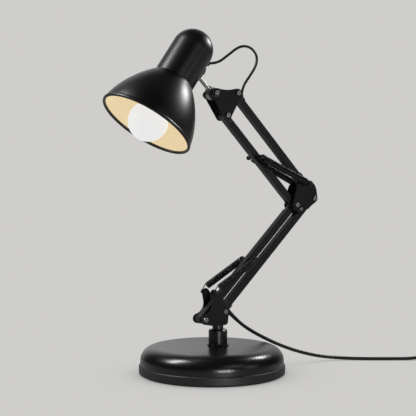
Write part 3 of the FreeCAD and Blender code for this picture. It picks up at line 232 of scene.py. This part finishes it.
# The base wears the same enamel, baked harder and glossier
hardEnamel = finishOf("hardEnamelBlack", {
    "colours": ("070707", "0B0B0C"), "drift": 60, "roughness": (0.25, 0.29), "grain": 5, "depth": 0.008,
    "edge": 0.35, "sockets": {"IOR": 1.5}})
# The pan under it is sprayed once, so it is satin
satinEnamel = finishOf("satinEnamelBlack", {
    "colours": ("181818", "1D1D1E"), "drift": 40, "roughness": (0.46, 0.54), "grain": 3, "depth": 0.015,
    "edge": 0.35, "sockets": {"IOR": 1.5}})
# Powder coat on cut steel plate: satin black, a fine pebble drawn at 1.2 mm
powderCoat = finishOf("powderCoatBlack", {
    "colours": ("0E0E0F", "141415"), "drift": 25, "roughness": (0.42, 0.52), "grain": 1.2, "depth": 0.02,
    "edge": 0.5, "sockets": {"IOR": 1.5, "Specular IOR Level": 0.36}})
# Painted square steel tube: satin black, corners rounded as drawn tube's are
tubePaint = finishOf("tubePaintBlack", {
    "colours": ("0D0D0E", "131314"), "drift": 30, "roughness": (0.36, 0.46), "grain": 1.6, "depth": 0.012,
    "edge": 1.5, "sockets": {"IOR": 1.5, "Specular IOR Level": 0.4}})
# Moulded ABS: near black, spark-eroded grain
mouldedAbs = finishOf("mouldedAbsBlack", {
    "colours": ("0F0F10", "151516"), "drift": 14, "roughness": (0.38, 0.5), "grain": 0.9, "depth": 0.015,
    "edge": 0.5, "sockets": {"IOR": 1.54}})
# Nickel-plated steel: bright, with a faint grain and handling haze
nickelPlate = finishOf("nickelPlatedSteel", {
    "colours": ("8E8D8B", "B0AFAD"), "drift": 5, "roughness": (0.28, 0.4), "grain": 0.8, "depth": 0.003,
    "metallic": 1.0})
# Zinc-plated strip of the stem and strap: greyer than the bolts, dulled by handling
zincPlate = finishOf("zincPlatedSteel", {
    "colours": ("94938F", "B2B1AD"), "drift": 6, "roughness": (0.36, 0.48), "grain": 0.8, "depth": 0.006,
    "metallic": 1.0})
# Blackened spring steel: oxide black over drawn wire, with a dull metal sheen
oxideSteel = finishOf("blackOxideSpring", {
    "colours": ("2C2C2D", "404042"), "drift": 7, "roughness": (0.3, 0.42), "grain": 0.7, "depth": 0.006,
    "metallic": 0.75})
# Soft PVC cord cover: black, slightly waxy
cordPvc = finishOf("pvcCordBlack", {
    "colours": ("0B0B0B", "121212"), "drift": 18, "roughness": (0.36, 0.5), "grain": 1.4, "depth": 0.01,
    "sockets": {"IOR": 1.53}})
# Moulded rubber of plug and grommet: dull black
mouldedRubber = finishOf("mouldedRubberBlack", {
    "colours": ("101010", "171717"), "drift": 12, "roughness": (0.55, 0.68), "grain": 1.0, "depth": 0.02,
    "edge": 0.6})
# Cream enamel inside the shade, lit warm by the bulb and given a painted warm glow as emission on top
creamEnamelPaintedGlow = finishOf("creamEnamelInside", {
    "colours": ("BFB08E", "C8B996"), "drift": 45, "roughness": (0.4, 0.5), "grain": 4, "depth": 0.008,
    "sockets": {"Emission Color": linear("F0DDB6"), "Emission Strength": 0.57}})
# Opal glass of the lit bulb: an even white that hides what is inside
opalGlass = finishOf("opalGlassLit", {
    "colours": ("5E5E5E", "626262"), "drift": 20, "roughness": (0.4, 0.46), "grain": 6, "depth": 0.004,
    "sockets": {"Emission Color": linear("EDEDED"), "Emission Strength": 0.9, "Specular IOR Level": 0.2}})
# White PBT collar of the bulb
bulbPlastic = finishOf("whitePbtCollar", {
    "colours": ("DCDAD4", "E6E4DF"), "drift": 12, "roughness": (0.4, 0.5), "grain": 1.0, "depth": 0.008})
# Thin nickel-plated aluminium screw shell
bulbShell = finishOf("screwShellAluminium", {
    "colours": ("B4B2AD", "C9C7C2"), "drift": 6, "roughness": (0.28, 0.4), "grain": 1.0, "depth": 0.008,
    "metallic": 1.0})
# Stamped brass of blades and contacts, a little tarnished
stampedBrass = finishOf("stampedBrass", {
    "colours": ("B08B45", "D0AC63"), "drift": 8, "roughness": (0.25, 0.4), "grain": 1.0, "depth": 0.008,
    "metallic": 1.0})
# Grey cast iron of the weight, sand-cast skin
castIron = finishOf("sandCastIron", {
    "colours": ("2C2B2A", "3D3B39"), "drift": 15, "roughness": (0.6, 0.8), "grain": 2.0, "depth": 0.15,
    "metallic": 0.6})
# Foam pad under the base: open cells drawn at 1.5 mm
foamPad = finishOf("cellFoamPad", {
    "colours": ("161616", "222222"), "drift": 6, "roughness": (0.85, 0.95), "grain": 1.5, "depth": 0.25})

finishesByNode = {
    enamel: "cap post_socket post_pin",
    hardEnamel: "base_cover",
    satinEnamel: "base_pan",
    powderCoat: "lower_bracket elbow_plates head_plates",
    tubePaint: "lower_rear_tube lower_front_tube upper_rear_tube upper_front_tube",
    mouldedAbs: "lower_rear_ferrules lower_front_ferrules upper_rear_ferrules upper_front_ferrules "
                "lower_spacers elbow_spacers head_spacers shade_ring lampholder switch_top switch_bottom "
                "switch_rocker coil_tie lower_spring_stud upper_spring_stud",
    nickelPlate: "base_fasteners strap_rivets",
    zincPlate: "head_stem head_strap",
    oxideSteel: "lower_ear_pins tilt_thumb_nut",
    mouldedRubber: "plug_body cap_grommet",
    opalGlass: "bulb_globe",
    bulbPlastic: "bulb_neck",
    bulbShell: "bulb_base",
    stampedBrass: "plug_blades lampholder_contacts",
    castIron: "base_weight",
    foamPad: "base_pad",
}
for material, names in finishesByNode.items():
    for name in names.split():
        nodes[name].material_slots[0].link = "OBJECT"
        nodes[name].material_slots[0].material = material
print("CAD nodes finished in", len(finishesByNode), "materials")


def settle(bm, name, materials, sharpest=35):
    # makes a bmesh an object: doubles merged, faces outwards, smooth up to the sharpest angle in degrees
    bmesh.ops.remove_doubles(bm, verts=bm.verts, dist=weldDistance)
    bmesh.ops.recalc_face_normals(bm, faces=bm.faces)
    for face in bm.faces:
        face.smooth = True
    for edge in bm.edges:
        edge.smooth = len(edge.link_faces) == 2 and edge.calc_face_angle() < math.radians(sharpest)
    mesh = bpy.data.meshes.new(name)
    bm.to_mesh(mesh)
    bm.free()
    for material in materials:
        mesh.materials.append(material)
    made = bpy.data.objects.new(name, mesh)
    scene.collection.objects.link(made)
    return made


def splineThrough(name, points, resolution=12):
    # the line of a cord or wire: a NURBS spline with the route's points as its control points
    data = bpy.data.curves.new(name, "CURVE")
    data.dimensions = "3D"
    data.resolution_u = resolution
    spline = data.splines.new("NURBS")
    spline.points.add(len(points) - 1)
    for point, place in zip(spline.points, points):
        point.co = (*place, 1)
    spline.order_u = 3
    spline.use_endpoint_u = True
    return data


def pointsAlong(data):
    # the points of a curve that has no bevel
    holder = bpy.data.objects.new(data.name + "Line", data)
    mesh = bpy.data.meshes.new_from_object(holder)
    found = [vertex.co.copy() for vertex in mesh.vertices]
    bpy.data.objects.remove(holder)
    bpy.data.meshes.remove(mesh)
    return found


def tubeAlong(name, line, diameter, material, sides=4, shares=None):
    # a mesh tube along points read from a spline; shares scale its thickness point by point, and sides
    # is Blender's bevel resolution
    data = bpy.data.curves.new(name + "Core", "CURVE")
    data.dimensions = "3D"
    data.bevel_depth = diameter / 2 * millimetre
    data.bevel_resolution = sides
    data.use_fill_caps = True
    spline = data.splines.new("POLY")
    spline.points.add(len(line) - 1)
    for index, place in enumerate(line):
        spline.points[index].co = (*place, 1)
        spline.points[index].radius = shares[index] if shares else 1
    holder = bpy.data.objects.new(name + "Core", data)
    mesh = bpy.data.meshes.new_from_object(holder)
    bpy.data.objects.remove(holder)
    bpy.data.curves.remove(data)
    bm = bmesh.new()
    bm.from_mesh(mesh)
    bpy.data.meshes.remove(mesh)
    return settle(bm, name, [material], sharpest=50)


# Mains cord: out of the lower arm's foot, down to the table, along it to the switch. It passes from the
# arm to the bracket before x = bracketFrom, and from the bracket to the base before x = baseFrom
mains = {
    "diameter": 5.2,
    "route": [
        (27.92, 0, 88.57), (37.23, 0, 79.49), (56.04, 0, 64.10), (82.97, 0, 48.81), (115.64, 0, 33.27),
        (149.5, 0, 20.47), (183.95, 0, 10.77), (213.45, 0, 5.10), (242.86, -13.98, 2.7),
        (267.96, -32, 2.7), (299.99, -50, 2.7), (330.95, -66.5, 2.7), (357.92, -79, 8.6),
        (379.92, -79, 8.6)],
    "bracketFrom": 66, "baseFrom": 245,
}
mainsLine = pointsAlong(splineThrough("mainsCord", [at(*p) for p in mains["route"]]))
toBracket = next(i for i, p in enumerate(mainsLine) if p.x > mains["bracketFrom"] * millimetre)
toBase = next(i for i, p in enumerate(mainsLine) if p.x > mains["baseFrom"] * millimetre)
riseLine = mainsLine[:toBracket + 1]
dropLine = mainsLine[toBracket:toBase + 1]
floorLine = mainsLine[toBase:]
mainsRise = tubeAlong("mainsCordRise", riseLine, mains["diameter"], cordPvc)
mainsDrop = tubeAlong("mainsCordDrop", dropLine, mains["diameter"], cordPvc)
mainsFloor = tubeAlong("mainsCordFloor", floorLine, mains["diameter"], cordPvc)
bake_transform(mainsRise)
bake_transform(mainsDrop)
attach(mainsFloor, "base")
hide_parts("mains_lead")

# The rest of the cord: from the switch into a tied coil of two layers, and out to the plug. The loops
# spiral in and out again by step, and climb one step in climbTurns round the reversal
coil = {
    "switchEnd": (441.92, -79, 8.6), "linkRun": 16, "start": (491.92, -79, 3.3), "centre": (497.12, -37.25),
    "inner": 26, "step": 6, "loops": 5.25, "climbTurns": 0.5, "startTurn": -0.25, "perTurn": 16,
    "plugMouth": (538.87, 19.95, 8.6), "tailRun": 17,
}
coilRoute = [at(*coil["switchEnd"]), at(*coil["switchEnd"]) + at(coil["linkRun"], 0, 0)]
coilRoute += [at(*coil["start"]) - at(coil["linkRun"], 0, 0), at(*coil["start"])]
reversal = coil["loops"] / 2
turnSteps = int(coil["loops"] * coil["perTurn"])
for step in range(turnSteps + 1):
    loops = coil["loops"] * step / turnSteps
    radius = coil["inner"] + coil["step"] * abs(loops - reversal)
    climbed = coil["step"] * min(max((loops - reversal) / coil["climbTurns"] + 0.5, 0), 1)
    turned = 2 * math.pi * (loops + coil["startTurn"])
    coilRoute.append(at(
        coil["centre"][0] + radius * math.cos(turned), coil["centre"][1] + radius * math.sin(turned),
        coil["start"][2] + climbed))
plugMouth = at(*coil["plugMouth"])
tailRun = at(0, coil["tailRun"], 0)
coilRoute += [coilRoute[-1] + tailRun, plugMouth - tailRun, plugMouth]
coilLine = pointsAlong(splineThrough("coiledCord", coilRoute, resolution=4))
coiledCord = tubeAlong("mainsCordCoil", coilLine, mains["diameter"], cordPvc)
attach(coiledCord, "base")
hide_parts("mains_link", "cord_coil", "mains_tail")

# Strain reliefs: tapered and ribbed rubber where the cord leaves the lamp and the switch. stout and slim
# are shares of the cord's diameter, and the ribs stand ribPitch apart with a groove cut between them
reliefs = {
    "lampRelief": {"route": mains["route"][:6], "length": 21, "stout": 1.3, "slim": 1.08, "back": False},
    "switchInRelief": {
        "route": mains["route"][-6:], "length": 22, "stout": 1.7, "slim": 1.15, "back": True},
    "switchOutRelief": {"route": None, "length": 22, "stout": 1.7, "slim": 1.15, "back": False},
}
reliefRibs = {"ribPitch": 3.0, "ribWidth": 1.7, "groove": 0.1, "resolution": 60}
for name, relief in reliefs.items():
    route = [at(*p) for p in relief["route"]] if relief["route"] else coilRoute[:6]
    line = pointsAlong(splineThrough(name, route, resolution=reliefRibs["resolution"]))
    if relief["back"]:
        line.reverse()
    gone, kept, shares = 0.0, [], []
    for here, after in zip(line, line[1:]):
        along = gone / (relief["length"] * millimetre)
        if along > 1:
            break
        grooved = gone / millimetre % reliefRibs["ribPitch"] > reliefRibs["ribWidth"]
        kept.append(here)
        shares.append(relief["stout"] + (relief["slim"] - relief["stout"]) * along
                      - (reliefRibs["groove"] if grooved else 0))
        gone += (after - here).length
    piece = tubeAlong(name, kept, mains["diameter"], mouldedRubber, shares=shares)
    if name == "lampRelief":
        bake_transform(piece)
    else:
        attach(piece, "base")

# Lead to the lampholder: out of the cap's grommet, up and over in a loop, into the upper arm. It is made
# in two lengths that meet past x = topAfter
headLead = {
    "diameter": 3.9,
    "route": [
        (-55.49, 434.67), (-48.29, 445.49), (-28.83, 451.86), (6.96, 451.48), (27.52, 466.55),
        (47.51, 481.96), (65.99, 482.76), (78.6, 471.45), (77.29, 455.46), (65.5, 438.45),
        (52.38, 421.28), (51.02, 409.36)],
    "grommetMouth": (-5.0, 451.5), "topAfter": 66,
}
leadLine = pointsAlong(splineThrough("headLead", [at(x, 0, z) for x, z in headLead["route"]]))
top = next(i for i, p in enumerate(leadLine) if p.x > headLead["topAfter"] * millimetre)
capLine, spoutLine = leadLine[:top + 1], leadLine[top:]
leadAtCap = tubeAlong("headLeadCapSide", capLine, headLead["diameter"], cordPvc)
leadAtArm = tubeAlong("headLeadArmSide", spoutLine, headLead["diameter"], cordPvc)
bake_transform(leadAtCap)
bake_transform(leadAtArm)
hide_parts("head_lead")

# Leads that run inside the arms, and the one that crosses inside the elbow, made in two halves
innerLeads = {
    "lowerArmLead": {"body": "lower_rear_arm", "node": "lower_lead", "route": [
        (27.92, 88.57), (20.59, 95.73), (160.06, 238.65), (158.73, 246.16)]},
    "upperArmLead": {"body": "upper_rear_arm", "node": "upper_lead", "route": [
        (153.14, 277.71), (150.84, 290.66), (49.64, 397.28), (51.02, 409.36)]},
}
crossLead = {"route": [(158.73, 246.16), (156.4, 256.6), (155.1, 267.2), (153.14, 277.71)]}
crossLine = pointsAlong(splineThrough("crossLead", [at(x, 0, z) for x, z in crossLead["route"]]))
crossMiddle = len(crossLine) // 2
fromLower, toUpper = crossLine[:crossMiddle + 1], crossLine[crossMiddle:]
crossLow = tubeAlong("elbowLeadLow", fromLower, headLead["diameter"], cordPvc)
crossHigh = tubeAlong("elbowLeadHigh", toUpper, headLead["diameter"], cordPvc)
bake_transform(crossLow)
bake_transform(crossHigh)
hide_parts("elbow_lead")
for name, lead in innerLeads.items():
    line = pointsAlong(splineThrough(name, [at(x, 0, z) for x, z in lead["route"]]))
    piece = tubeAlong(name, line, headLead["diameter"], cordPvc)
    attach(piece, lead["body"])
    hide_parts(lead["node"])
print("cords laid")

# Tension springs: close-wound wire with a hook at each end. Pairs are for the seat and the stud: sides is
# how far each lies from the lamp's middle, leads the wire from hook to coil, hooks the loops' radii and
# posts the radii of what they hold. lift raises the coil's end at the seat. Each spring is made in
# lengths that meet; cuts are shares of the way along it
springs = {
    "lower": {
        "seat": (-4.0, 117.6), "stud": (64.5, 164.4), "sides": (17.8, 17.6), "leads": (5.4, 2.6),
        "hooks": (4.6, 3.7), "posts": (2.0, 2.0), "lift": 3.7,
        "fixed": "lower_bracket", "swings": "lower_front_arm"},
    "upper": {
        "seat": (161.85, 279.05), "stud": (76.1, 317.2), "sides": (18.0, 13.4), "leads": (2.6, 2.6),
        "hooks": (3.5, 3.0), "posts": (2.4, 2.0), "lift": 0,
        "fixed": "elbow", "swings": "upper_front_arm"},
}
springWire = {"wire": 1.4, "coil": 4.45, "pitch": 1.56, "hookSweep": 285, "hookSteps": 10, "play": 0.1,
              "perTurn": 9, "splineShrink": 1.06, "cuts": (0, 0.14, 0.4, 1.0), "follow": 2.4}


def hookPoints(middle, outwards, asideWay, radius, post):
    # the loop round a post, drawn back until it bears on the post's far side
    reach = radius * millimetre
    slack = (radius - springWire["wire"] / 2 - post - springWire["play"]) * millimetre
    centre = middle - outwards * slack
    found = []
    for step in range(springWire["hookSteps"] + 1):
        turned = math.radians(springWire["hookSweep"] * step / springWire["hookSteps"])
        found.append(centre + (asideWay * -math.cos(turned) + outwards * math.sin(turned)) * reach)
    return found


cuts = springWire["cuts"]
coilReach = springWire["coil"] * springWire["splineShrink"] * millimetre
for arm, spring in springs.items():
    hooks, posts = spring["hooks"], spring["posts"]
    insets = [(hook + lead) * millimetre for hook, lead in zip(hooks, spring["leads"])]
    for sideName, sign in (("near", -1), ("far", 1)):
        seat = at(spring["seat"][0], sign * spring["sides"][0], spring["seat"][1])
        stud = at(spring["stud"][0], sign * spring["sides"][1], spring["stud"][1])
        axis = (stud - seat).normalized()
        span = (stud - seat).length
        asideWay = Vector((axis.z, 0, -axis.x)).normalized()
        bodyStart = seat + axis * insets[0] - asideWay * spring["lift"] * millimetre
        bodyEnd = stud - axis * insets[1]
        bodyAxis = (bodyEnd - bodyStart).normalized()
        bodyAside = Vector((bodyAxis.z, 0, -bodyAxis.x)).normalized()
        crosswise = bodyAxis.cross(bodyAside)
        wirePoints = list(reversed(hookPoints(seat, -axis, asideWay, hooks[0], posts[0])))
        turns = round((bodyEnd - bodyStart).length / (springWire["pitch"] * millimetre))
        count = turns * springWire["perTurn"]
        for step in range(count + 1):
            turned = math.pi + 2 * math.pi * step / springWire["perTurn"]
            spoke = bodyAside * math.cos(turned) + crosswise * math.sin(turned)
            wirePoints.append(bodyStart.lerp(bodyEnd, step / count) + spoke * coilReach)
        wirePoints += hookPoints(stud, axis, asideWay, hooks[1], posts[1])
        name = arm + "Spring" + sideName.capitalize()
        line = pointsAlong(splineThrough(name, wirePoints, resolution=2))
        afterHook = len(line) * (springWire["hookSteps"] + 2) // len(wirePoints)
        marks = [0]
        for cut in cuts[1:-1]:
            marks.append(next(
                i for i, p in enumerate(line) if i > afterHook and (p - seat).dot(axis) > cut * span))
        marks.append(len(line) - 1)
        for index in range(len(marks) - 1):
            run = line[marks[index]:marks[index + 1] + 1]
            piece = tubeAlong(name + str(index + 1), run, springWire["wire"], oxideSteel, sides=2)
            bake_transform(piece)
            if index == 0:
                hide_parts(arm + "_spring_" + sideName)
print("springs wound")

# Shade: spun steel bell with a rolled rim, black outside and cream inside. innerFrom is where the bell's
# inside starts above the bead, and bunching draws the profile's steps towards the mouth. The cream
# reaches to creamGap from the bead, and onto the crown's underside, which faces down past creamDown
shade = {
    "place": (-106.4, 0, 358.04), "lean": 33.6, "mouth": 69.1, "crown": 30.3, "depth": 77.0, "wall": 1.2,
    "fullness": 1.5, "bore": 19.05, "beadAt": 68.0, "bead": 2.2, "beadSpan": (100, 420), "beadStep": 20,
    "innerFrom": 2.4, "steps": 24, "bunching": 1.4, "around": 128, "creamGap": 0.15, "creamDown": -0.7,
}
headPlace = Matrix.Translation(at(*shade["place"])) @ Matrix.Rotation(math.radians(shade["lean"]), 4, "Y")


def bellLine(mouthRadius, crownRadius, depth):
    # (radius, height) from the mouth up to the crown
    full = shade["fullness"]
    height = depth / (1 - (crownRadius / mouthRadius) ** full) ** (1 / full)
    found = []
    for step in range(shade["steps"] + 1):
        rise = depth * (step / shade["steps"]) ** shade["bunching"]
        found.append((mouthRadius * (1 - (rise / height) ** full) ** (1 / full), rise))
    return found


outerLine = bellLine(shade["mouth"], shade["crown"], shade["depth"])
outerLine = [(radius, height) for radius, height in outerLine if height > shade["bead"]]
innerTop = shade["depth"] - shade["wall"]
innerLine = bellLine(shade["mouth"] - shade["wall"], shade["crown"] - shade["wall"], innerTop)
innerLine = [(radius, height) for radius, height in innerLine if height > shade["innerFrom"]]
beadLine = []
for degrees in range(shade["beadSpan"][0], shade["beadSpan"][1] + 1, shade["beadStep"]):
    turned = math.radians(degrees)
    beadLine.append((shade["beadAt"] + shade["bead"] * math.cos(turned), shade["bead"] * math.sin(turned)))
profile = [(shade["bore"], innerTop)] + innerLine[::-1] + beadLine + outerLine
profile += [(shade["bore"], shade["depth"])]
bm = bmesh.new()
verts = [bm.verts.new(at(radius, 0, height)) for radius, height in profile]
edges = [bm.edges.new(pair) for pair in zip(verts, verts[1:] + verts[:1])]
bmesh.ops.spin(bm, geom=verts + edges, cent=(0, 0, 0), axis=(0, 0, 1), angle=2 * math.pi,
               steps=shade["around"], use_merge=True)
bmesh.ops.remove_doubles(bm, verts=bm.verts, dist=weldDistance)
bmesh.ops.recalc_face_normals(bm, faces=bm.faces)
for face in bm.faces:
    middle = face.calc_center_median()
    inwards = face.normal.xy.dot(middle.xy) < 0 or face.normal.z < shade["creamDown"]
    fromBead = math.hypot(middle.xy.length - shade["beadAt"] * millimetre, middle.z)
    cream = inwards and fromBead > (shade["bead"] + shade["creamGap"]) * millimetre
    face.material_index = 1 if cream else 0
bm.transform(headPlace)
shadeBell = settle(bm, "shadeBell", [enamel, creamEnamelPaintedGlow], sharpest=40)
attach(shadeBell, "head")
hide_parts("shade")
print("shade spun")

# Bolts with pan heads, cross recesses and hexagon nuts. Each lies across the lamp with its head on the
# near side; half is half the width that it clamps, farHalf the far half where that differs, and turn is
# how its cross came to rest. The slot's and the dome's sizes are shares of the head's radius and height
boltSizes = {
    "pivot": {"shank": 2.0, "head": 3.8, "headHeight": 2.4, "nut": 7.0, "nutHeight": 3.2, "tip": 1.0},
    "stop": {"shank": 1.5, "head": 2.9, "headHeight": 2.0, "nut": 5.5, "nutHeight": 2.6, "tip": 1.0},
    "tilt": {"shank": 2.0, "head": 3.8, "headHeight": 2.4, "nut": 0, "nutHeight": 0, "tip": 0},
}
boltShape = {"slotEnd": 0.52, "slotHalf": 0.12, "slotDepth": 0.5, "slotTaper": 0.7, "around": 24,
             "dome": ((0.8, 1.0), (0.95, 0.72), (1.0, 0.4), (1.0, 0.0)), "nutEdge": 0.3, "edgeSteps": 2}
boltGroups = {
    "lowerBolts": {"body": "lower_bracket", "replaces": "lower_fasteners", "finish": nickelPlate, "bolts": [
        {"size": "pivot", "place": (15.0, 90.0), "half": 13.0, "turn": 20},
        {"size": "pivot", "place": (-17.9, 79.94), "half": 13.0, "turn": 65}]},
    "elbowBolts": {"body": "elbow", "replaces": "elbow_fasteners", "finish": nickelPlate, "bolts": [
        {"size": "pivot", "place": (176.82, 255.83), "half": 12.0, "turn": 35},
        {"size": "pivot", "place": (143.93, 245.77), "half": 12.0, "turn": 5},
        {"size": "stop", "place": (150.67, 239.44), "half": 12.0, "turn": 50}]},
    "crownBolt": {"body": "elbow", "replaces": None, "finish": oxideSteel, "bolts": [
        {"size": "pivot", "place": (161.85, 279.05), "half": 21.2, "turn": 12}]},
    "headBolts": {"body": "head_bracket", "replaces": "head_fasteners", "finish": nickelPlate, "bolts": [
        {"size": "pivot", "place": (19.88, 376.48), "half": 12.0, "turn": 80},
        {"size": "pivot", "place": (37.80, 409.76), "half": 12.0, "turn": 28}]},
    "tiltScrew": {"body": "head_bracket", "replaces": "tilt_bolt", "finish": nickelPlate, "bolts": [
        {"size": "tilt", "place": (0.16, 407.66), "half": 12.8, "turn": 48, "farHalf": 19.65}]},
}


def addBolt(bm, bolt):
    # drawn upright, head upwards with its seat at height 0, then laid across the lamp. The cross is the
    # middle row and column of a three by three grid, whose outer lines are its ends
    size = boltSizes[bolt["size"]]
    older = set(bm.verts)
    head = size["head"] * millimetre
    rise = size["headHeight"] * millimetre
    grid = bmesh.ops.create_grid(bm, x_segments=3, y_segments=3, size=1)["verts"]
    for vert in grid:
        spread = [head * math.copysign(boltShape["slotEnd" if abs(c) > 0.5 else "slotHalf"], c)
                  for c in vert.co.xy]
        vert.co = (*spread, rise)
    faces = {face for vert in grid for face in vert.link_faces}
    rim = [edge for face in faces for edge in face.edges if len(edge.link_faces) == 1]
    cross = [face for face in faces
             if min(abs(c) for c in face.calc_center_median().xy) < boltShape["slotHalf"] * head / 2]
    sunk = bmesh.ops.extrude_face_region(bm, geom=cross)["geom"]
    for vert in (part for part in sunk if isinstance(part, bmesh.types.BMVert)):
        vert.co.xy *= boltShape["slotTaper"]
        vert.co.z -= boltShape["slotDepth"] * rise
    bmesh.ops.delete(bm, geom=[face for face in cross if face.is_valid], context="FACES")
    for share, height in boltShape["dome"]:
        ring = bmesh.ops.create_circle(bm, segments=boltShape["around"], radius=head * share)["verts"]
        bmesh.ops.translate(bm, verts=ring, vec=(0, 0, rise * height))
        ringEdges = list({edge for vert in ring for edge in vert.link_edges})
        bmesh.ops.bridge_loops(bm, edges=rim + ringEdges)
        rim = ringEdges
    bmesh.ops.contextual_create(bm, geom=rim)
    clamped = bolt["half"] + bolt.get("farHalf", bolt["half"])
    depth = (clamped + size["nutHeight"] + size["tip"]) * millimetre
    radius = size["shank"] * millimetre
    shank = bmesh.ops.create_cone(bm, cap_ends=True, segments=boltShape["around"], radius1=radius,
                                  radius2=radius, depth=depth)["verts"]
    bmesh.ops.translate(bm, verts=shank, vec=(0, 0, -depth / 2))
    if size["nut"]:
        across = size["nut"] / math.sqrt(3) * millimetre
        nut = bmesh.ops.create_cone(bm, cap_ends=True, segments=6, radius1=across, radius2=across,
                                    depth=size["nutHeight"] * millimetre)["verts"]
        bmesh.ops.translate(bm, verts=nut, vec=at(0, 0, -clamped - size["nutHeight"] / 2))
        nutEdges = list({edge for vert in nut for edge in vert.link_edges})
        bmesh.ops.bevel(bm, geom=nutEdges, offset=boltShape["nutEdge"] * millimetre, affect="EDGES",
                        segments=boltShape["edgeSteps"], profile=0.5, material=-1)
    laid = Matrix.Translation(at(bolt["place"][0], -bolt["half"], bolt["place"][1]))
    laid = laid @ Matrix.Rotation(math.radians(90), 4, "X")
    laid = laid @ Matrix.Rotation(math.radians(bolt["turn"]), 4, "Z")
    bmesh.ops.transform(bm, matrix=laid, verts=[vert for vert in bm.verts if vert not in older])


for name, group in boltGroups.items():
    bm = bmesh.new()
    for bolt in group["bolts"]:
        addBolt(bm, bolt)
    piece = settle(bm, name, [group["finish"]])
    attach(piece, group["body"])
    if group["replaces"]:
        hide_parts(group["replaces"])

# Black washer under the tilt screw's head; low is how far its seat lies from the lamp's middle
tiltWasher = {"place": (0.16, 407.66), "radius": 6.5, "thick": 0.8, "low": 12.0, "edge": 0.7,
              "edgeSteps": 4, "around": 48}
radius = tiltWasher["radius"] * millimetre
bm = bmesh.new()
bmesh.ops.create_cone(bm, cap_ends=True, segments=tiltWasher["around"], radius1=radius, radius2=radius,
                      depth=tiltWasher["thick"] * millimetre)
upperRim = [edge for edge in bm.edges if all(vert.co.z > 0 for vert in edge.verts)]
bmesh.ops.bevel(bm, geom=upperRim, offset=tiltWasher["edge"] * millimetre, affect="EDGES",
                segments=tiltWasher["edgeSteps"], profile=0.5, material=-1)
outwards = -tiltWasher["low"] - tiltWasher["thick"] / 2
washerMiddle = at(tiltWasher["place"][0], outwards, tiltWasher["place"][1])
bm.transform(Matrix.Translation(washerMiddle) @ Matrix.Rotation(math.radians(90), 4, "X"))
washer = settle(bm, "tiltWasher", [hardEnamel])
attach(washer, "head_bracket")
print("bolts set")
